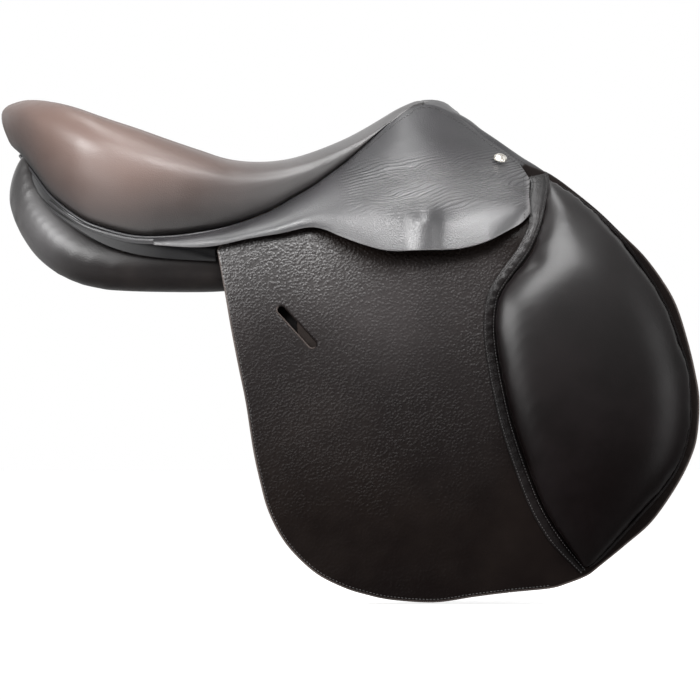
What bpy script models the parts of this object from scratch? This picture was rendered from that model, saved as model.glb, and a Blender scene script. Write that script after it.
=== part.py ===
"""English jumping saddle: seat, skirts, flaps, panels, girth straps and the laminated tree inside.

Metres, +X towards the pommel, +Z up, -Y the off (right) side. The origin lies midway between the
panels, at the level of their lowest line, where the saddle rests on the horse's back.
"""

import math

import bmesh
import bpy
import numpy as np
from mathutils import Matrix, Vector

mm = 0.001

# Leather, webbing and metal stock
SEAT_LEATHER = 2.5 * mm
SKIRT_LEATHER = 2.8 * mm
FLAP_LEATHER = 4.0 * mm
SWEAT_LEATHER = 3.0 * mm
FACING_LEATHER = 2.5 * mm
BILLET_LEATHER = 4.0 * mm
GUARD_LEATHER = 2.0 * mm
WEB_THICK = 1.6 * mm
WEB_WIDTH = 24.0 * mm
PLATE_STEEL = 2.0 * mm
BAR_STEEL = 3.5 * mm
WELT_RADIUS = 1.6 * mm
GAP = 0.3 * mm

# How the sides hang from the tree
SIDE_HALF_WIDTH = 118.0 * mm
SIDE_LEVEL = 80.0 * mm
SIDE_SPLAY = math.radians(13.0)
FRONT_WRAP = 0.79
FRONT_WRAP_FROM = 170.0 * mm
REAR_WRAP = 1.0
REAR_WRAP_FROM = -20.0 * mm
TOP_WRAP = 8.0
TOP_WRAP_FROM = 40.0 * mm
UNDER_FLAP = 14.0 * mm

# Seat
SEAT_STACK = 38.0 * mm
SEAT_EDGE_INSET = 27.0 * mm
CANTLE_EDGE_INSET = 10.0 * mm
FOAM_CLEARANCE = 2.0 * mm
FOAM_FRONT = 78.0 * mm

# Knee pad, blocks and band
PAD_CROWN = 16.0 * mm
PAD_TOP_CROWN = 3.0 * mm
PAD_EDGE = 3.0 * mm
BAND_WIDTH = 11.0 * mm
BAND_THICK = 2.2 * mm
BLOCK_DEPTH = 10.0 * mm

# Girth straps
BILLET_WIDTH = 25.0 * mm
BILLET_SPACING = 36.0 * mm
BILLET_MIDDLE = 56.0 * mm
BILLET_TOP = 46.0 * mm
BILLET_TIP = -232.0 * mm
HOLE_RADIUS = 2.2 * mm
HOLE_PITCH = 24.0 * mm
HOLE_COUNT = 7
GUARD_HEIGHT = 82.0 * mm
GUARD_TOP = 2.0 * mm
GUARD_SLEEVE = 34.0 * mm
GUARD_MARGIN = 10.0 * mm
GUARD_CLEARANCE = 0.6 * mm

# Stirrup bar
BAR_LENGTH = 60.0 * mm
BAR_HEIGHT = 12.0 * mm
BAR_LEVEL = 86.0 * mm
BAR_REAR = 76.0 * mm
BAR_PLATE_Y = 91.5 * mm
BAR_SLOT = 15.0 * mm
CATCH_LENGTH = 16.0 * mm
CATCH_THICK = 3.0 * mm
PIN_RADIUS = 1.6 * mm

# Keeper slot in the flap
SLOT_LENGTH = 48.0 * mm
SLOT_WIDTH = 6.6 * mm
SLOT_CENTRE = (-3.0 * mm, -32.5 * mm)
SLOT_SLANT = math.radians(-47.5)

# Fold lines, as two points of x and z each
FLAP_FOLD = ((-72.0 * mm, -9.0 * mm), (270.0 * mm, 63.0 * mm))
FLAP_FOLD_LIFT = 2.5 * mm
SKIRT_FOLD = ((8.0 * mm, 58.0 * mm), (207.0 * mm, 83.0 * mm))
SKIRT_FOLD_LIFT = 0.5 * mm
SKIRT_FOLD_TAPER = -0.055
# The block that parts a skirt at its fold reaches past the hide on every side
CUTTER_BEYOND = 30.0 * mm
CUTTER_SPAN = (60.0 * mm, 200.0 * mm)

# Nail
NAIL_RADIUS = 6.5 * mm
NAIL_HEIGHT = 3.6 * mm
NAIL_AT = (180.0 * mm, 116.0 * mm)

# Panel bridges: the front one's place, and the ends of the rear one
BRIDGE_AT = 150.0 * mm
REAR_BRIDGE_X = (-250.0 * mm, -234.0 * mm)
REAR_BRIDGE_Z = (84.0 * mm, 88.0 * mm)
REAR_BRIDGE_CLEARANCE = 1.2 * mm

# Tree
RAIL_WIDTH = 28.0 * mm
RAIL_THICK = 12.0 * mm
RAIL_DROP = 6.6 * mm
HEAD_WIDTH = 30.0 * mm
HEAD_THICK = 11.0 * mm
RIVET_RADIUS = 4.0 * mm

# Outlines in millimetres, read along each edge of the saddle
SEAT_TOP = (
    (-268, 157.5), (-258, 170), (-242, 171.4), (-226, 170), (-206, 166), (-180, 157.5), (-149, 148),
    (-120, 137.7), (-89, 127), (-69, 119.7), (-49.5, 116.5), (-29, 116.5), (-9, 119.7), (11, 126),
    (31.5, 133.6), (45, 140), (65, 151.7), (85, 163.8), (101, 170.7), (115, 173.3), (129.6, 172.2),
)
SEAT_EDGE = (
    (-254, 0, 123), (-248, 35, 117), (-239, 62, 105), (-224, 90, 86), (-200, 113, 67.5), (-180, 122, 58.5),
    (-150, 127, 51), (-120, 126, 50.4), (-89, 121, 54), (-59, 112, 60.3), (-29, 102, 71.3), (-9, 95, 82.4),
    (11, 88, 95.4), (31.5, 79, 111.6), (45, 73, 122.4), (65, 64, 139.5), (85, 55, 155), (97, 49, 162),
    (108, 42, 166.5), (118, 28, 168.5), (124, 0, 169),
)
SEAT_TUCK = ((-254, 15), (-224, 9), (-150, 7), (-60, 5), (30, 2), (95, 0.6), (124, 0.6))
CANTLE_CREST = -246.0 * mm
SEAT_DISH = ((-260, 13), (-200, 11), (-150, 8), (-100, 4), (-30, 0.5), (60, 0.2), (124, 0))
SKIRT_SEAM = (
    (-132, 127.3, 43.9), (-120, 127, 45.0), (-105, 125, 46.3), (-89, 122.5, 49.2), (-59, 114, 56),
    (-29, 104, 67), (-9, 97.5, 78), (11, 90.5, 91), (31.5, 82, 107), (45, 76, 118), (65, 67, 135),
    (85, 58, 150.5), (97, 52, 158), (108, 47, 162.5), (119, 45.5, 163), (150, 55, 141.5), (174, 66, 126),
    (195, 76, 115.5), (206, 92, 99),
)
SKIRT_HEM = (
    (-132, 41.2), (-99, 39.2), (-76, 40.5), (-47, 46.8), (-18, 51.7), (7, 57), (22, 55.3),
    (39, 48.2), (60, 40.5), (82, 35.6), (111, 36.6), (141, 37.2), (166, 43.2), (185, 53), (198, 61),
    (206, 70),
)
SKIRT_STAND = ((-132, 8), (-99, 6), (-60, 5), (0, 6), (60, 8), (110, 8), (160, 6.5), (190, 5), (206, 4))
FLAP_EDGE = (
    (-75, 37), (-67, -1), (-61, -34), (-54, -68), (-47, -101), (-40.5, -143), (-34, -173), (-28, -196),
    (-18, -219), (-4, -237), (16, -254.5), (39, -266), (58, -272), (82, -277), (121, -279.3), (156, -274.5),
    (188, -270.5), (224, -267), (239, -263), (258, -255.6), (269, -246), (292.5, -228), (317, -207),
    (339, -175), (352, -149), (358, -129), (359, -98), (355.5, -71), (349, -43), (338, -15), (326, 6),
    (310.5, 31.5), (291, 54), (272, 73), (248, 90), (229, 103), (216, 109), (203, 114),
)
FLAP_HIDDEN = ((192, 106), (168, 86), (140, 70), (60, 69), (-20, 62), (-66, 48))
PAD_REAR = (
    (226, 97), (224, 82), (218, 59), (207, 34), (190, 11), (180.5, -4.5), (177, -22), (177, -43),
    (180.5, -68), (185, -91), (193, -124), (208, -168), (220.5, -197), (237, -223), (257, -249),
)
PAD_FRONT = (
    (259, -247), (273.5, -234), (301, -205), (330, -172), (344, -144), (350, -115), (350, -107), (348, -73),
    (340, -45), (331, -20), (317, 6), (300, 31), (284, 51), (264, 70), (246, 84), (229, 95),
)
# Top seam of the visible rear panel, with its half-width
PANEL_SEAM = (
    (-253, 0, 118), (-249, 30, 109), (-243, 52, 96), (-230, 80, 77), (-210, 102, 61), (-185, 113, 45),
    (-159, 118, 35), (-130, 120.5, 30), (-99, 120.5, 27.5), (-76, 120.5, 26.5),
)
# Panel stations: x, inner and outer half-width, bottom at the outer and inner side, top at the outer and
# inner side
PANEL_STATIONS = (
    (-259, 16, 44, 90, 88, 106, 108), (-254, 14, 60, 70, 72, 108, 112), (-244, 15, 74, 46, 56, 86, 103),
    (-230, 19, 89, 24, 40, 70, 97), (-210, 25, 105, 8, 30, 55, 93), (-185, 30, 114, -4, 23, 45, 90),
    (-155, 33, 119, -8, 20, 40, 86), (-75, 33, 119, -8, 20, 34, 62), (-40, 34, 113.7, -8, 20, 32, 54),
    (0, 34, 112.9, -7, 24, 34, 62), (50, 36, 111.6, -7, 38, 32, 84), (100, 38, 109, -4, 62, 28, 106),
    (145, 40, 103.5, 1, 83, 31, 115), (180, 44, 100, 14, 88, 38, 112), (198, 56, 92, 40, 76, 56, 92),
)
HEAD_LINE = ((112, 0, 150), (115, 30, 143), (126, 54, 122), (140, 72, 96), (151, 86, 70), (158, 99, 54))
# Pommel facing: its sewn edge under the skirts, and the middle of its front roll
POMMEL_SEWN = (
    (127, 0, 165.9), (122, 27, 164), (129, 46.2, 156.3), (150, 53.6, 140.5), (174, 64.5, 125.1),
    (195, 67.2, 114), (209, 62.5, 106.5), (226, 70, 98),
)
POMMEL_ROLL = (
    (144, 0, 156), (147, 20, 153), (153, 29, 148), (163, 37, 139), (178, 46, 127.5), (197, 50, 111.5),
    (211, 53, 103), (225, 62, 96),
)
# How far across the facing, and half its thickness there
POMMEL_SECTION = tuple((share, thick * mm) for share, thick in (
    (0.0, 1.2), (0.3, 2.2), (0.65, 3.8), (0.95, 4.4), (1.15, 3.4), (1.26, 1.4),
))
RAIL_LINE = ((-204, 62), (-150, 72), (-90, 70), (-30, 56), (30, 46), (70, 42), (107, 40))

for leftover in list(bpy.data.objects):
    bpy.data.objects.remove(leftover, do_unlink=True)

SIDES = {"left": 1.0, "right": -1.0}


def material(name, color, roughness, metallic=0.0):
    made = bpy.data.materials.new(name)
    made.use_nodes = True
    shader = made.node_tree.nodes["Principled BSDF"]
    shader.inputs["Base Color"].default_value = (*color, 1.0)
    shader.inputs["Roughness"].default_value = roughness
    shader.inputs["Metallic"].default_value = metallic
    return made


SEAT_BROWN = material("seat_leather", (0.045, 0.022, 0.013), 0.42)
SKIRT_BLACK = material("skirt_leather", (0.014, 0.012, 0.012), 0.4)
FLAP_BROWN = material("flap_leather", (0.018, 0.012, 0.009), 0.55)
PAD_BLACK = material("pad_leather", (0.02, 0.013, 0.011), 0.38)
LINING = material("panel_leather", (0.02, 0.012, 0.01), 0.45)
STRAP = material("strap_leather", (0.05, 0.026, 0.015), 0.55)
WEBBING = material("webbing", (0.45, 0.4, 0.3), 0.85)
BEECH = material("laminated_beech", (0.42, 0.28, 0.16), 0.6)
FOAM = material("seat_foam", (0.55, 0.5, 0.36), 0.9)
STEEL = material("bar_steel", (0.55, 0.56, 0.58), 0.28, 1.0)
BLUED = material("spring_steel", (0.2, 0.21, 0.24), 0.4, 1.0)
SILVER = material("nail_silver", (0.75, 0.74, 0.71), 0.22, 1.0)


def finish(name, bm, look, angle=40.0):
    """Faces turned outward, shaded smooth, as one named object."""
    bmesh.ops.recalc_face_normals(bm, faces=bm.faces[:])
    mesh = bpy.data.meshes.new(name)
    bm.to_mesh(mesh)
    bm.free()
    mesh.shade_smooth()
    mesh.set_sharp_from_angle(angle=math.radians(angle))
    mesh.materials.append(look)
    made = bpy.data.objects.new(name, mesh)
    bpy.context.collection.objects.link(made)
    return made


def smooth(points, count, closed=False):
    """Even points along a Catmull-Rom curve through the given ones."""
    known = [np.array(p, float) for p in points]
    n = len(known)
    dense = []
    for i in range(n if closed else n - 1):
        if closed:
            a, b, c, d = (known[(i + k) % n] for k in (-1, 0, 1, 2))
        else:
            b, c = known[i], known[i + 1]
            a = known[i - 1] if i else 2 * b - c
            d = known[i + 2] if i + 2 < n else 2 * c - b
        for t in np.linspace(0, 1, 12, endpoint=False):
            square, cube = 2 * a - 5 * b + 4 * c - d, 3 * b - a - 3 * c + d
            dense.append(0.5 * (2 * b + (c - a) * t + square * t**2 + cube * t**3))
    dense.append(known[0] if closed else known[-1])
    dense = np.array(dense)
    run = np.concatenate([[0], np.cumsum(np.linalg.norm(np.diff(dense, axis=0), axis=1))])
    at = np.linspace(0, run[-1], count, endpoint=not closed)
    return [Vector([np.interp(s, run, dense[:, k]) for k in range(dense.shape[1])]) for s in at]


def read(table, x, column=1):
    """A value of a table in millimetres at x, in metres."""
    rows = np.array(table, float)
    return float(np.interp(x / mm, rows[:, 0], rows[:, column])) * mm


def splay(z):
    return SIDE_HALF_WIDTH + (SIDE_LEVEL - z) * math.tan(SIDE_SPLAY)


WRAP_X = [REAR_WRAP_FROM - 56 * mm, REAR_WRAP_FROM - 28 * mm, REAR_WRAP_FROM]
WRAP_X += [FRONT_WRAP_FROM + 31.5 * mm * k for k in range(7)]
WRAP_Z = [TOP_WRAP_FROM + 15 * mm * k for k in range(7)]


def hang(x, z):
    """Half-width of the flap's inner face: flat under the rider's leg, and facets that follow the horse
    round at its front, rear and top. Every layer bends on the same lines, so their gaps stay even."""
    rounds = [
        FRONT_WRAP * max(0.0, k - FRONT_WRAP_FROM) ** 2 + REAR_WRAP * max(0.0, REAR_WRAP_FROM - k) ** 2
        for k in WRAP_X
    ]
    tops = [TOP_WRAP * (k - TOP_WRAP_FROM) ** 2 for k in WRAP_Z]
    return splay(z) - float(np.interp(x, WRAP_X, rounds)) - float(np.interp(z, WRAP_Z, tops))


def cut_plane(bm, point, normal, keep_below=None):
    """Cuts the mesh along a plane. With keep_below, one side of it goes and the cut is closed."""
    geometry = bm.verts[:] + bm.edges[:] + bm.faces[:]
    cut = bmesh.ops.bisect_plane(
        bm, geom=geometry, dist=1e-7, plane_co=point, plane_no=normal,
        clear_outer=keep_below is True, clear_inner=keep_below is False,
    )
    return [part for part in cut["geom_cut"] if isinstance(part, bmesh.types.BMEdge)]


def fold_normal(fold):
    (x0, z0), (x1, z1) = fold
    return Vector((-(z1 - z0), 0.0, x1 - x0)).normalized()


def flat_cells(outline, bends=True, fold=None, below=True):
    """A flat outline in x and z, cut where the sides bend and, if asked, at a fold."""
    bm = bmesh.new()
    bm.faces.new([bm.verts.new((x, 0.0, z)) for x, z in outline])
    if fold:
        up = fold_normal(fold)
        middle = Vector((fold[0][0], 0.0, fold[0][1])) + up * (GAP / 2) * (-1 if below else 1)
        cut_plane(bm, middle, up, below)
    if bends:
        for x in WRAP_X:
            cut_plane(bm, (x, 0, 0), (1, 0, 0))
        for z in WRAP_Z:
            cut_plane(bm, (0, 0, z), (0, 0, 1))
    bmesh.ops.remove_doubles(bm, verts=bm.verts[:], dist=0.05 * mm)
    return bm


def layer(name, outline, side, start, thick, look, bends=True, fold=None, below=True):
    """A sheet of leather that hangs on the side, from start outward of the flap's inner face."""
    surface = hang if bends else (lambda x, z: splay(z))
    bm = flat_cells(outline, bends, fold, below)
    grown = bmesh.ops.extrude_face_region(bm, geom=bm.faces[:])
    outer = {v for v in grown["geom"] if isinstance(v, bmesh.types.BMVert)}
    for v in bm.verts:
        x, z = v.co.x, v.co.z
        rise = thick if v in outer else 0.0
        v.co.y = side * (surface(x, z) + start + rise)
    return finish(name, bm, look, 30.0)


def shrink(outline, by):
    """The outline moved inward, along each point's own normal."""
    points = [Vector(p[:2]) for p in outline]
    area = sum(a.x * b.y - b.x * a.y for a, b in zip(points, points[1:] + points[:1]))
    turn = 1.0 if area > 0 else -1.0
    moved = []
    for i, p in enumerate(points):
        along = (points[(i + 1) % len(points)] - points[i - 1]).normalized()
        moved.append(p + Vector((-along.y, along.x)) * turn * by)
    return moved


def box(name, low, high, look):
    bm = bmesh.new()
    bmesh.ops.create_cube(bm, size=1.0)
    low, high = Vector(low), Vector(high)
    for v in bm.verts:
        v.co = Vector(((low[k] + high[k]) / 2 + v.co[k] * (high[k] - low[k])) for k in range(3))
    return finish(name, bm, look, 20.0)


def sweep(name, path, section, look, up=Vector((0, 0, 1)), closed=False, angle=40.0):
    """A section, as points across and up, carried along a path."""
    bm = bmesh.new()
    rings = []
    n = len(path)
    for i, p in enumerate(path):
        if closed:
            along = path[(i + 1) % n] - path[i - 1]
        else:
            along = path[min(i + 1, n - 1)] - path[max(i - 1, 0)]
        along.normalize()
        top = up(i) if callable(up) else up
        across = along.cross(top).normalized()
        top = across.cross(along).normalized()
        rings.append([bm.verts.new(p + across * a + top * b) for a, b in section])
    m = len(section)
    for i in range(n if closed else n - 1):
        a, b = rings[i], rings[(i + 1) % n]
        for k in range(m):
            bm.faces.new((a[k], a[(k + 1) % m], b[(k + 1) % m], b[k]))
    if not closed:
        bm.faces.new(rings[0])
        bm.faces.new(rings[-1])
    return finish(name, bm, look, angle)


def oval(width, height, count):
    return [
        (width / 2 * math.cos(2 * math.pi * k / count), height / 2 * math.sin(2 * math.pi * k / count))
        for k in range(count)
    ]


def oblong(width, height):
    w, h = width / 2, height / 2
    return [(-w, -h), (w, -h), (w, h), (-w, h)]


def cylinder(name, base, axis, radius, length, look, sides=12):
    bm = bmesh.new()
    axis = Vector(axis).normalized()
    turn = axis.to_track_quat("Z", "Y").to_matrix().to_4x4()
    place = Matrix.Translation(Vector(base) + axis * length / 2) @ turn
    bmesh.ops.create_cone(
        bm, cap_ends=True, segments=sides, radius1=radius, radius2=radius, depth=length, matrix=place
    )
    return finish(name, bm, look)


def cutter(name, bm):
    made = finish(name, bm, STEEL)
    made.hide_render = True
    made.display_type = "WIRE"
    return made


def subtract(target, tool):
    cut = target.modifiers.new("cut", "BOOLEAN")
    cut.operation = "DIFFERENCE"
    cut.solver = "EXACT"
    cut.object = tool


def thicken(target, thick, offset):
    shell = target.modifiers.new("leather", "SOLIDIFY")
    shell.thickness = thick
    shell.offset = offset
    shell.use_even_offset = True
    shell.use_rim = True


def points_of(table):
    return [tuple(value * mm for value in row) for row in table]


# Seat: rings from the sewn edge up over the bulge and the shoulder to the middle line
def seat_rings():
    """For stations along one side of the seat's edge, the points from the edge to the middle line."""
    stations = []
    for w in smooth(points_of(SEAT_EDGE), 28):
        stations.append(w)
    stations[0].y = 0.0
    stations[-1].y = 0.0
    rings = []
    last = len(stations) - 1
    for i, w in enumerate(stations):
        along = stations[min(i + 1, last)] - stations[max(i - 1, 0)]
        if i in (0, last):
            along = Vector((0.0, 1.0 if i == 0 else -1.0, 0.0))
        out = Vector((-along.y, along.x, 0.0)).normalized()
        rear = min(1.0, max(0.0, (-150 * mm - w.x) / (100 * mm)))
        inset = SEAT_EDGE_INSET + (CANTLE_EDGE_INSET - SEAT_EDGE_INSET) * rear
        inset = min(inset, max(w.y * 0.45, 6 * mm if w.x > 0 else CANTLE_EDGE_INSET))
        rim = w - out * inset
        top = read(SEAT_TOP, max(rim.x, CANTLE_CREST))
        rise = top - w.z
        tuck = read(SEAT_TUCK, w.x)
        bulge = Vector((w.x, w.y, w.z + 0.42 * rise)) + out * tuck
        shoulder = Vector((w.x, w.y, w.z + 0.8 * rise)) + out * (tuck * 0.75 - inset * 0.12)
        rim.z = top
        if w.x < -150 * mm:
            cx = -150 * mm + (w.x + 150 * mm) * 0.62
        elif w.x > 80 * mm:
            cx = 80 * mm + (w.x - 80 * mm) * 0.6
        else:
            cx = w.x
        centre = Vector((cx, 0.0, read(SEAT_TOP, cx) - read(SEAT_DISH, cx)))
        middle = (rim + centre) / 2
        middle.z = centre.z + (rim.z - centre.z) * 0.35
        rings.append([w.copy(), bulge, shoulder, rim, middle, centre])
    return rings


def seat_surface(rings):
    bm = bmesh.new()
    for side in (1.0, -1.0):
        grid = [[bm.verts.new((p.x, p.y * side, p.z)) for p in ring] for ring in rings]
        for a, b in zip(grid, grid[1:]):
            for k in range(len(a) - 1):
                bm.faces.new((a[k], a[k + 1], b[k + 1], b[k]))
    bmesh.ops.remove_doubles(bm, verts=bm.verts[:], dist=0.01 * mm)
    bmesh.ops.recalc_face_normals(bm, faces=bm.faces[:])
    top = max(bm.faces, key=lambda f: f.calc_center_median().z)
    if top.normal.z < 0:
        bmesh.ops.reverse_faces(bm, faces=bm.faces[:])
    bm.normal_update()
    return bm


def open_surface(name, bm, look):
    mesh = bpy.data.meshes.new(name)
    bm.to_mesh(mesh)
    bm.free()
    mesh.shade_smooth()
    mesh.set_sharp_from_angle(angle=math.radians(60))
    mesh.materials.append(look)
    made = bpy.data.objects.new(name, mesh)
    bpy.context.collection.objects.link(made)
    return made


RINGS = seat_rings()
cover = open_surface("seat_cover", seat_surface(RINGS), SEAT_BROWN)
thicken(cover, SEAT_LEATHER, -1.0)


def board(x):
    """Level of the tree's upper side."""
    return read(SEAT_TOP, x) - SEAT_STACK


def seat_foam():
    """The foam fills the space between the cover and the webs."""
    depth = SEAT_LEATHER + FOAM_CLEARANCE
    full = seat_surface(RINGS)
    inward = {tuple(round(c, 6) for c in v.co): v.normal * depth for v in full.verts}
    full.free()
    bm = bmesh.new()
    stations = [ring for ring in RINGS if ring[0].x < FOAM_FRONT]
    for side in (1.0, -1.0):
        grid = []
        for ring in stations:
            top = []
            for p in ring[1:]:
                at = Vector((p.x, p.y * side, p.z))
                top.append(at - inward[tuple(round(c, 6) for c in at)])
            lowest = top[0].z - 2.5 * mm
            bottom = [Vector((p.x, p.y, max(board(p.x) + GAP, lowest))) for p in top]
            bottom[0].z = lowest
            for p, q in zip(top, bottom):
                q.z = min(q.z, p.z - 2.5 * mm)
            for k in (2, 3, 4):
                bottom[k].z = min(board(top[k].x) + GAP, top[k].z - 2.5 * mm)
            grid.append([bm.verts.new(p) for p in top + bottom[::-1]])
        for a, b in zip(grid, grid[1:]):
            for k in range(len(a)):
                n = (k + 1) % len(a)
                if k != len(stations[0]) - 2:
                    bm.faces.new((a[k], a[n], b[n], b[k]))
        front = grid[-1]
        half = len(front) // 2
        for k in range(half - 1):
            bm.faces.new((front[k], front[k + 1], front[-2 - k], front[-1 - k]))
    bmesh.ops.remove_doubles(bm, verts=bm.verts[:], dist=0.01 * mm)
    return finish("seat_foam", bm, FOAM)


seat_foam()

# Welt: a piped seam under the seat's edge, all the way round
edge = [ring[0] for ring in RINGS]
loop = [Vector((p.x, p.y, p.z)) for p in edge] + [Vector((p.x, -p.y, p.z)) for p in edge[-2:0:-1]]
for p in loop:
    p.z -= WELT_RADIUS + GAP + 0.4 * mm
sweep("seat_welt", loop, oval(2 * WELT_RADIUS, 2 * WELT_RADIUS, 6), SKIRT_BLACK, closed=True)


# Skirts: from the seam under the seat, out over the stirrup bar, down to a free hem
def skirt_point(x, down):
    """The skirt's inner face, from the seam at 0 to the hem at 1."""
    top = Vector((x, read(SKIRT_SEAM, x), read(SKIRT_SEAM, x, 2)))
    hem_z = read(SKIRT_HEM, x)
    flap_there = hang(max(x, -76 * mm), hem_z) + FLAP_LEATHER
    if x < -76 * mm:
        flap_there = max(flap_there, top.y - 2 * mm)
    hem_y = flap_there + read(SKIRT_STAND, x)
    return Vector((x, top.y + (hem_y - top.y) * (1 - (1 - down) ** 2.2), top.z + (hem_z - top.z) * down))


def share_down(x, z):
    top, low = skirt_point(x, 0).z, skirt_point(x, 1).z
    return min(1.0, max(0.0, (top - z) / (top - low)))


SKIRT_COLUMNS = 24
SKIRT_ROWS = 9
skirt_from, skirt_to = SKIRT_SEAM[0][0] * mm, SKIRT_SEAM[-1][0] * mm


def skirt(side_name, side, lobe):
    bm = bmesh.new()
    grid = []
    for x in np.linspace(skirt_from, skirt_to, SKIRT_COLUMNS):
        column = [skirt_point(float(x), k / (SKIRT_ROWS - 1)) for k in range(SKIRT_ROWS)]
        grid.append([bm.verts.new((p.x, p.y * side, p.z)) for p in column])
    for a, b in zip(grid, grid[1:]):
        for k in range(SKIRT_ROWS - 1):
            bm.faces.new((a[k], a[k + 1], b[k + 1], b[k]))
    bmesh.ops.recalc_face_normals(bm, faces=bm.faces[:])
    if sum(f.normal.y * side for f in bm.faces) < 0:
        bmesh.ops.reverse_faces(bm, faces=bm.faces[:])
    bm.normal_update()
    outward = {v: v.normal.copy() for v in bm.verts}
    grown = bmesh.ops.extrude_face_region(bm, geom=bm.faces[:])
    spots = {tuple(round(c, 8) for c in v.co): n for v, n in outward.items() if v.is_valid}
    for v in grown["geom"]:
        if isinstance(v, bmesh.types.BMVert):
            v.co += spots[tuple(round(c, 8) for c in v.co)] * SKIRT_LEATHER
    made = finish(("skirt_lobe_" if lobe else "skirt_") + side_name, bm, SKIRT_BLACK)
    inset = GAP / 2 if lobe else -GAP / 2
    (x0, z0), (x1, z1) = SKIRT_FOLD
    slope = (z1 - z0) / (x1 - x0)
    region = bmesh.new()
    ends = []
    beyond = x1 + CUTTER_BEYOND
    for y in CUTTER_SPAN:
        corners = (
            (x0 + inset, z0 - inset), (beyond, z1 + CUTTER_BEYOND * slope - inset), (beyond, 0), (x0 + inset, 0),
        )
        ends.append([region.verts.new((x, side * y, z)) for x, z in corners])
        region.faces.new(ends[-1])
    for k in range(4):
        n = (k + 1) % 4
        region.faces.new((ends[0][k], ends[0][n], ends[1][n], ends[1][k]))
    trim = cutter(f"fold_cutter_{'lobe' if lobe else 'skirt'}_{side_name}", region)
    subtract(made, trim)
    if lobe:
        made.modifiers["cut"].operation = "INTERSECT"
    return made


for side_name, side in SIDES.items():
    for lobe in (False, True):
        skirt(side_name, side, lobe)

# Nails: a domed head on the skirt near the pommel
for side_name, side in SIDES.items():
    x, z = NAIL_AT
    down = share_down(x, z)
    at = skirt_point(x, down)
    here = skirt_point(x + 4 * mm, down) - skirt_point(x - 4 * mm, down)
    falls = skirt_point(x, down + 0.04) - skirt_point(x, down - 0.04)
    out = here.cross(falls).normalized()
    if out.y < 0:
        out = -out
    seat = at + out * (SKIRT_LEATHER + GAP + 0.5 * mm)
    seat.y *= side
    out.y *= side
    bm = bmesh.new()
    bmesh.ops.create_uvsphere(bm, u_segments=14, v_segments=8, radius=NAIL_RADIUS)
    cut = cut_plane(bm, (0, 0, 0), (0, 0, 1), False)
    bmesh.ops.edgeloop_fill(bm, edges=[e for e in bm.edges if e.is_boundary])
    for v in bm.verts:
        v.co.z *= NAIL_HEIGHT / NAIL_RADIUS
    turn = out.to_track_quat("Z", "Y").to_matrix().to_4x4()
    bmesh.ops.transform(bm, matrix=Matrix.Translation(seat) @ turn, verts=bm.verts[:])
    finish("nail_" + side_name, bm, SILVER)

# Cantle facing: the glossy band between the seat and the panels, round the back
upper = smooth(points_of(SEAT_EDGE), 200)
stretch = [p for p in upper if p.x < -72 * mm]
lower = smooth(points_of(PANEL_SEAM), 18)
band = []
for i, low in enumerate(lower):
    share = i / (len(lower) - 1)
    high = stretch[round(share * (len(stretch) - 1))].copy()
    away = 4.2 * mm
    high.y = max(0.0, high.y - away) if i else 0.0
    high.x += away * max(0.0, 1 - share * 3)
    high.z += 1.0 * mm
    middle = (high + low) / 2
    middle.z -= 1.5 * mm
    band.append((high, middle, low))
bm = bmesh.new()
for mirror in (1.0, -1.0):
    grid = [[bm.verts.new((p.x, p.y * mirror, p.z)) for p in row] for row in band]
    for a, b in zip(grid, grid[1:]):
        for k in range(2):
            bm.faces.new((a[k], a[k + 1], b[k + 1], b[k]))
bmesh.ops.remove_doubles(bm, verts=bm.verts[:], dist=0.01 * mm)
bmesh.ops.recalc_face_normals(bm, faces=bm.faces[:])
side_face = max(bm.faces, key=lambda f: f.calc_center_median().y)
if side_face.normal.y < 0:
    bmesh.ops.reverse_faces(bm, faces=bm.faces[:])
facing = open_surface("cantle_facing", bm, SKIRT_BLACK)
thicken(facing, FACING_LEATHER, -1.0)

# Pommel facing: leather from under the skirts forward to a stuffed roll, over both sides
count = 13
sewn, roll = smooth(points_of(POMMEL_SEWN), count), smooth(points_of(POMMEL_ROLL), count)
sewn = [Vector((p.x, -p.y, p.z)) for p in sewn[:0:-1]] + sewn
roll = [Vector((p.x, -p.y, p.z)) for p in roll[:0:-1]] + roll
bm = bmesh.new()
rings = []
for i, (back, front) in enumerate(zip(sewn, roll)):
    along = roll[min(i + 1, len(roll) - 1)] - roll[max(i - 1, 0)]
    over = (front - back).cross(along).normalized()
    if over.z < 0:
        over = -over
    ring = []
    for share, thick in POMMEL_SECTION:
        ring.append(bm.verts.new(back.lerp(front, share) + over * thick))
    for share, thick in reversed(POMMEL_SECTION):
        ring.append(bm.verts.new(back.lerp(front, share) - over * thick))
    rings.append(ring)
for a, b in zip(rings, rings[1:]):
    for k in range(len(a)):
        n = (k + 1) % len(a)
        bm.faces.new((a[k], a[n], b[n], b[k]))
bm.faces.new(rings[0])
bm.faces.new(rings[-1])
finish("pommel_facing", bm, SKIRT_BLACK)

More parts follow.
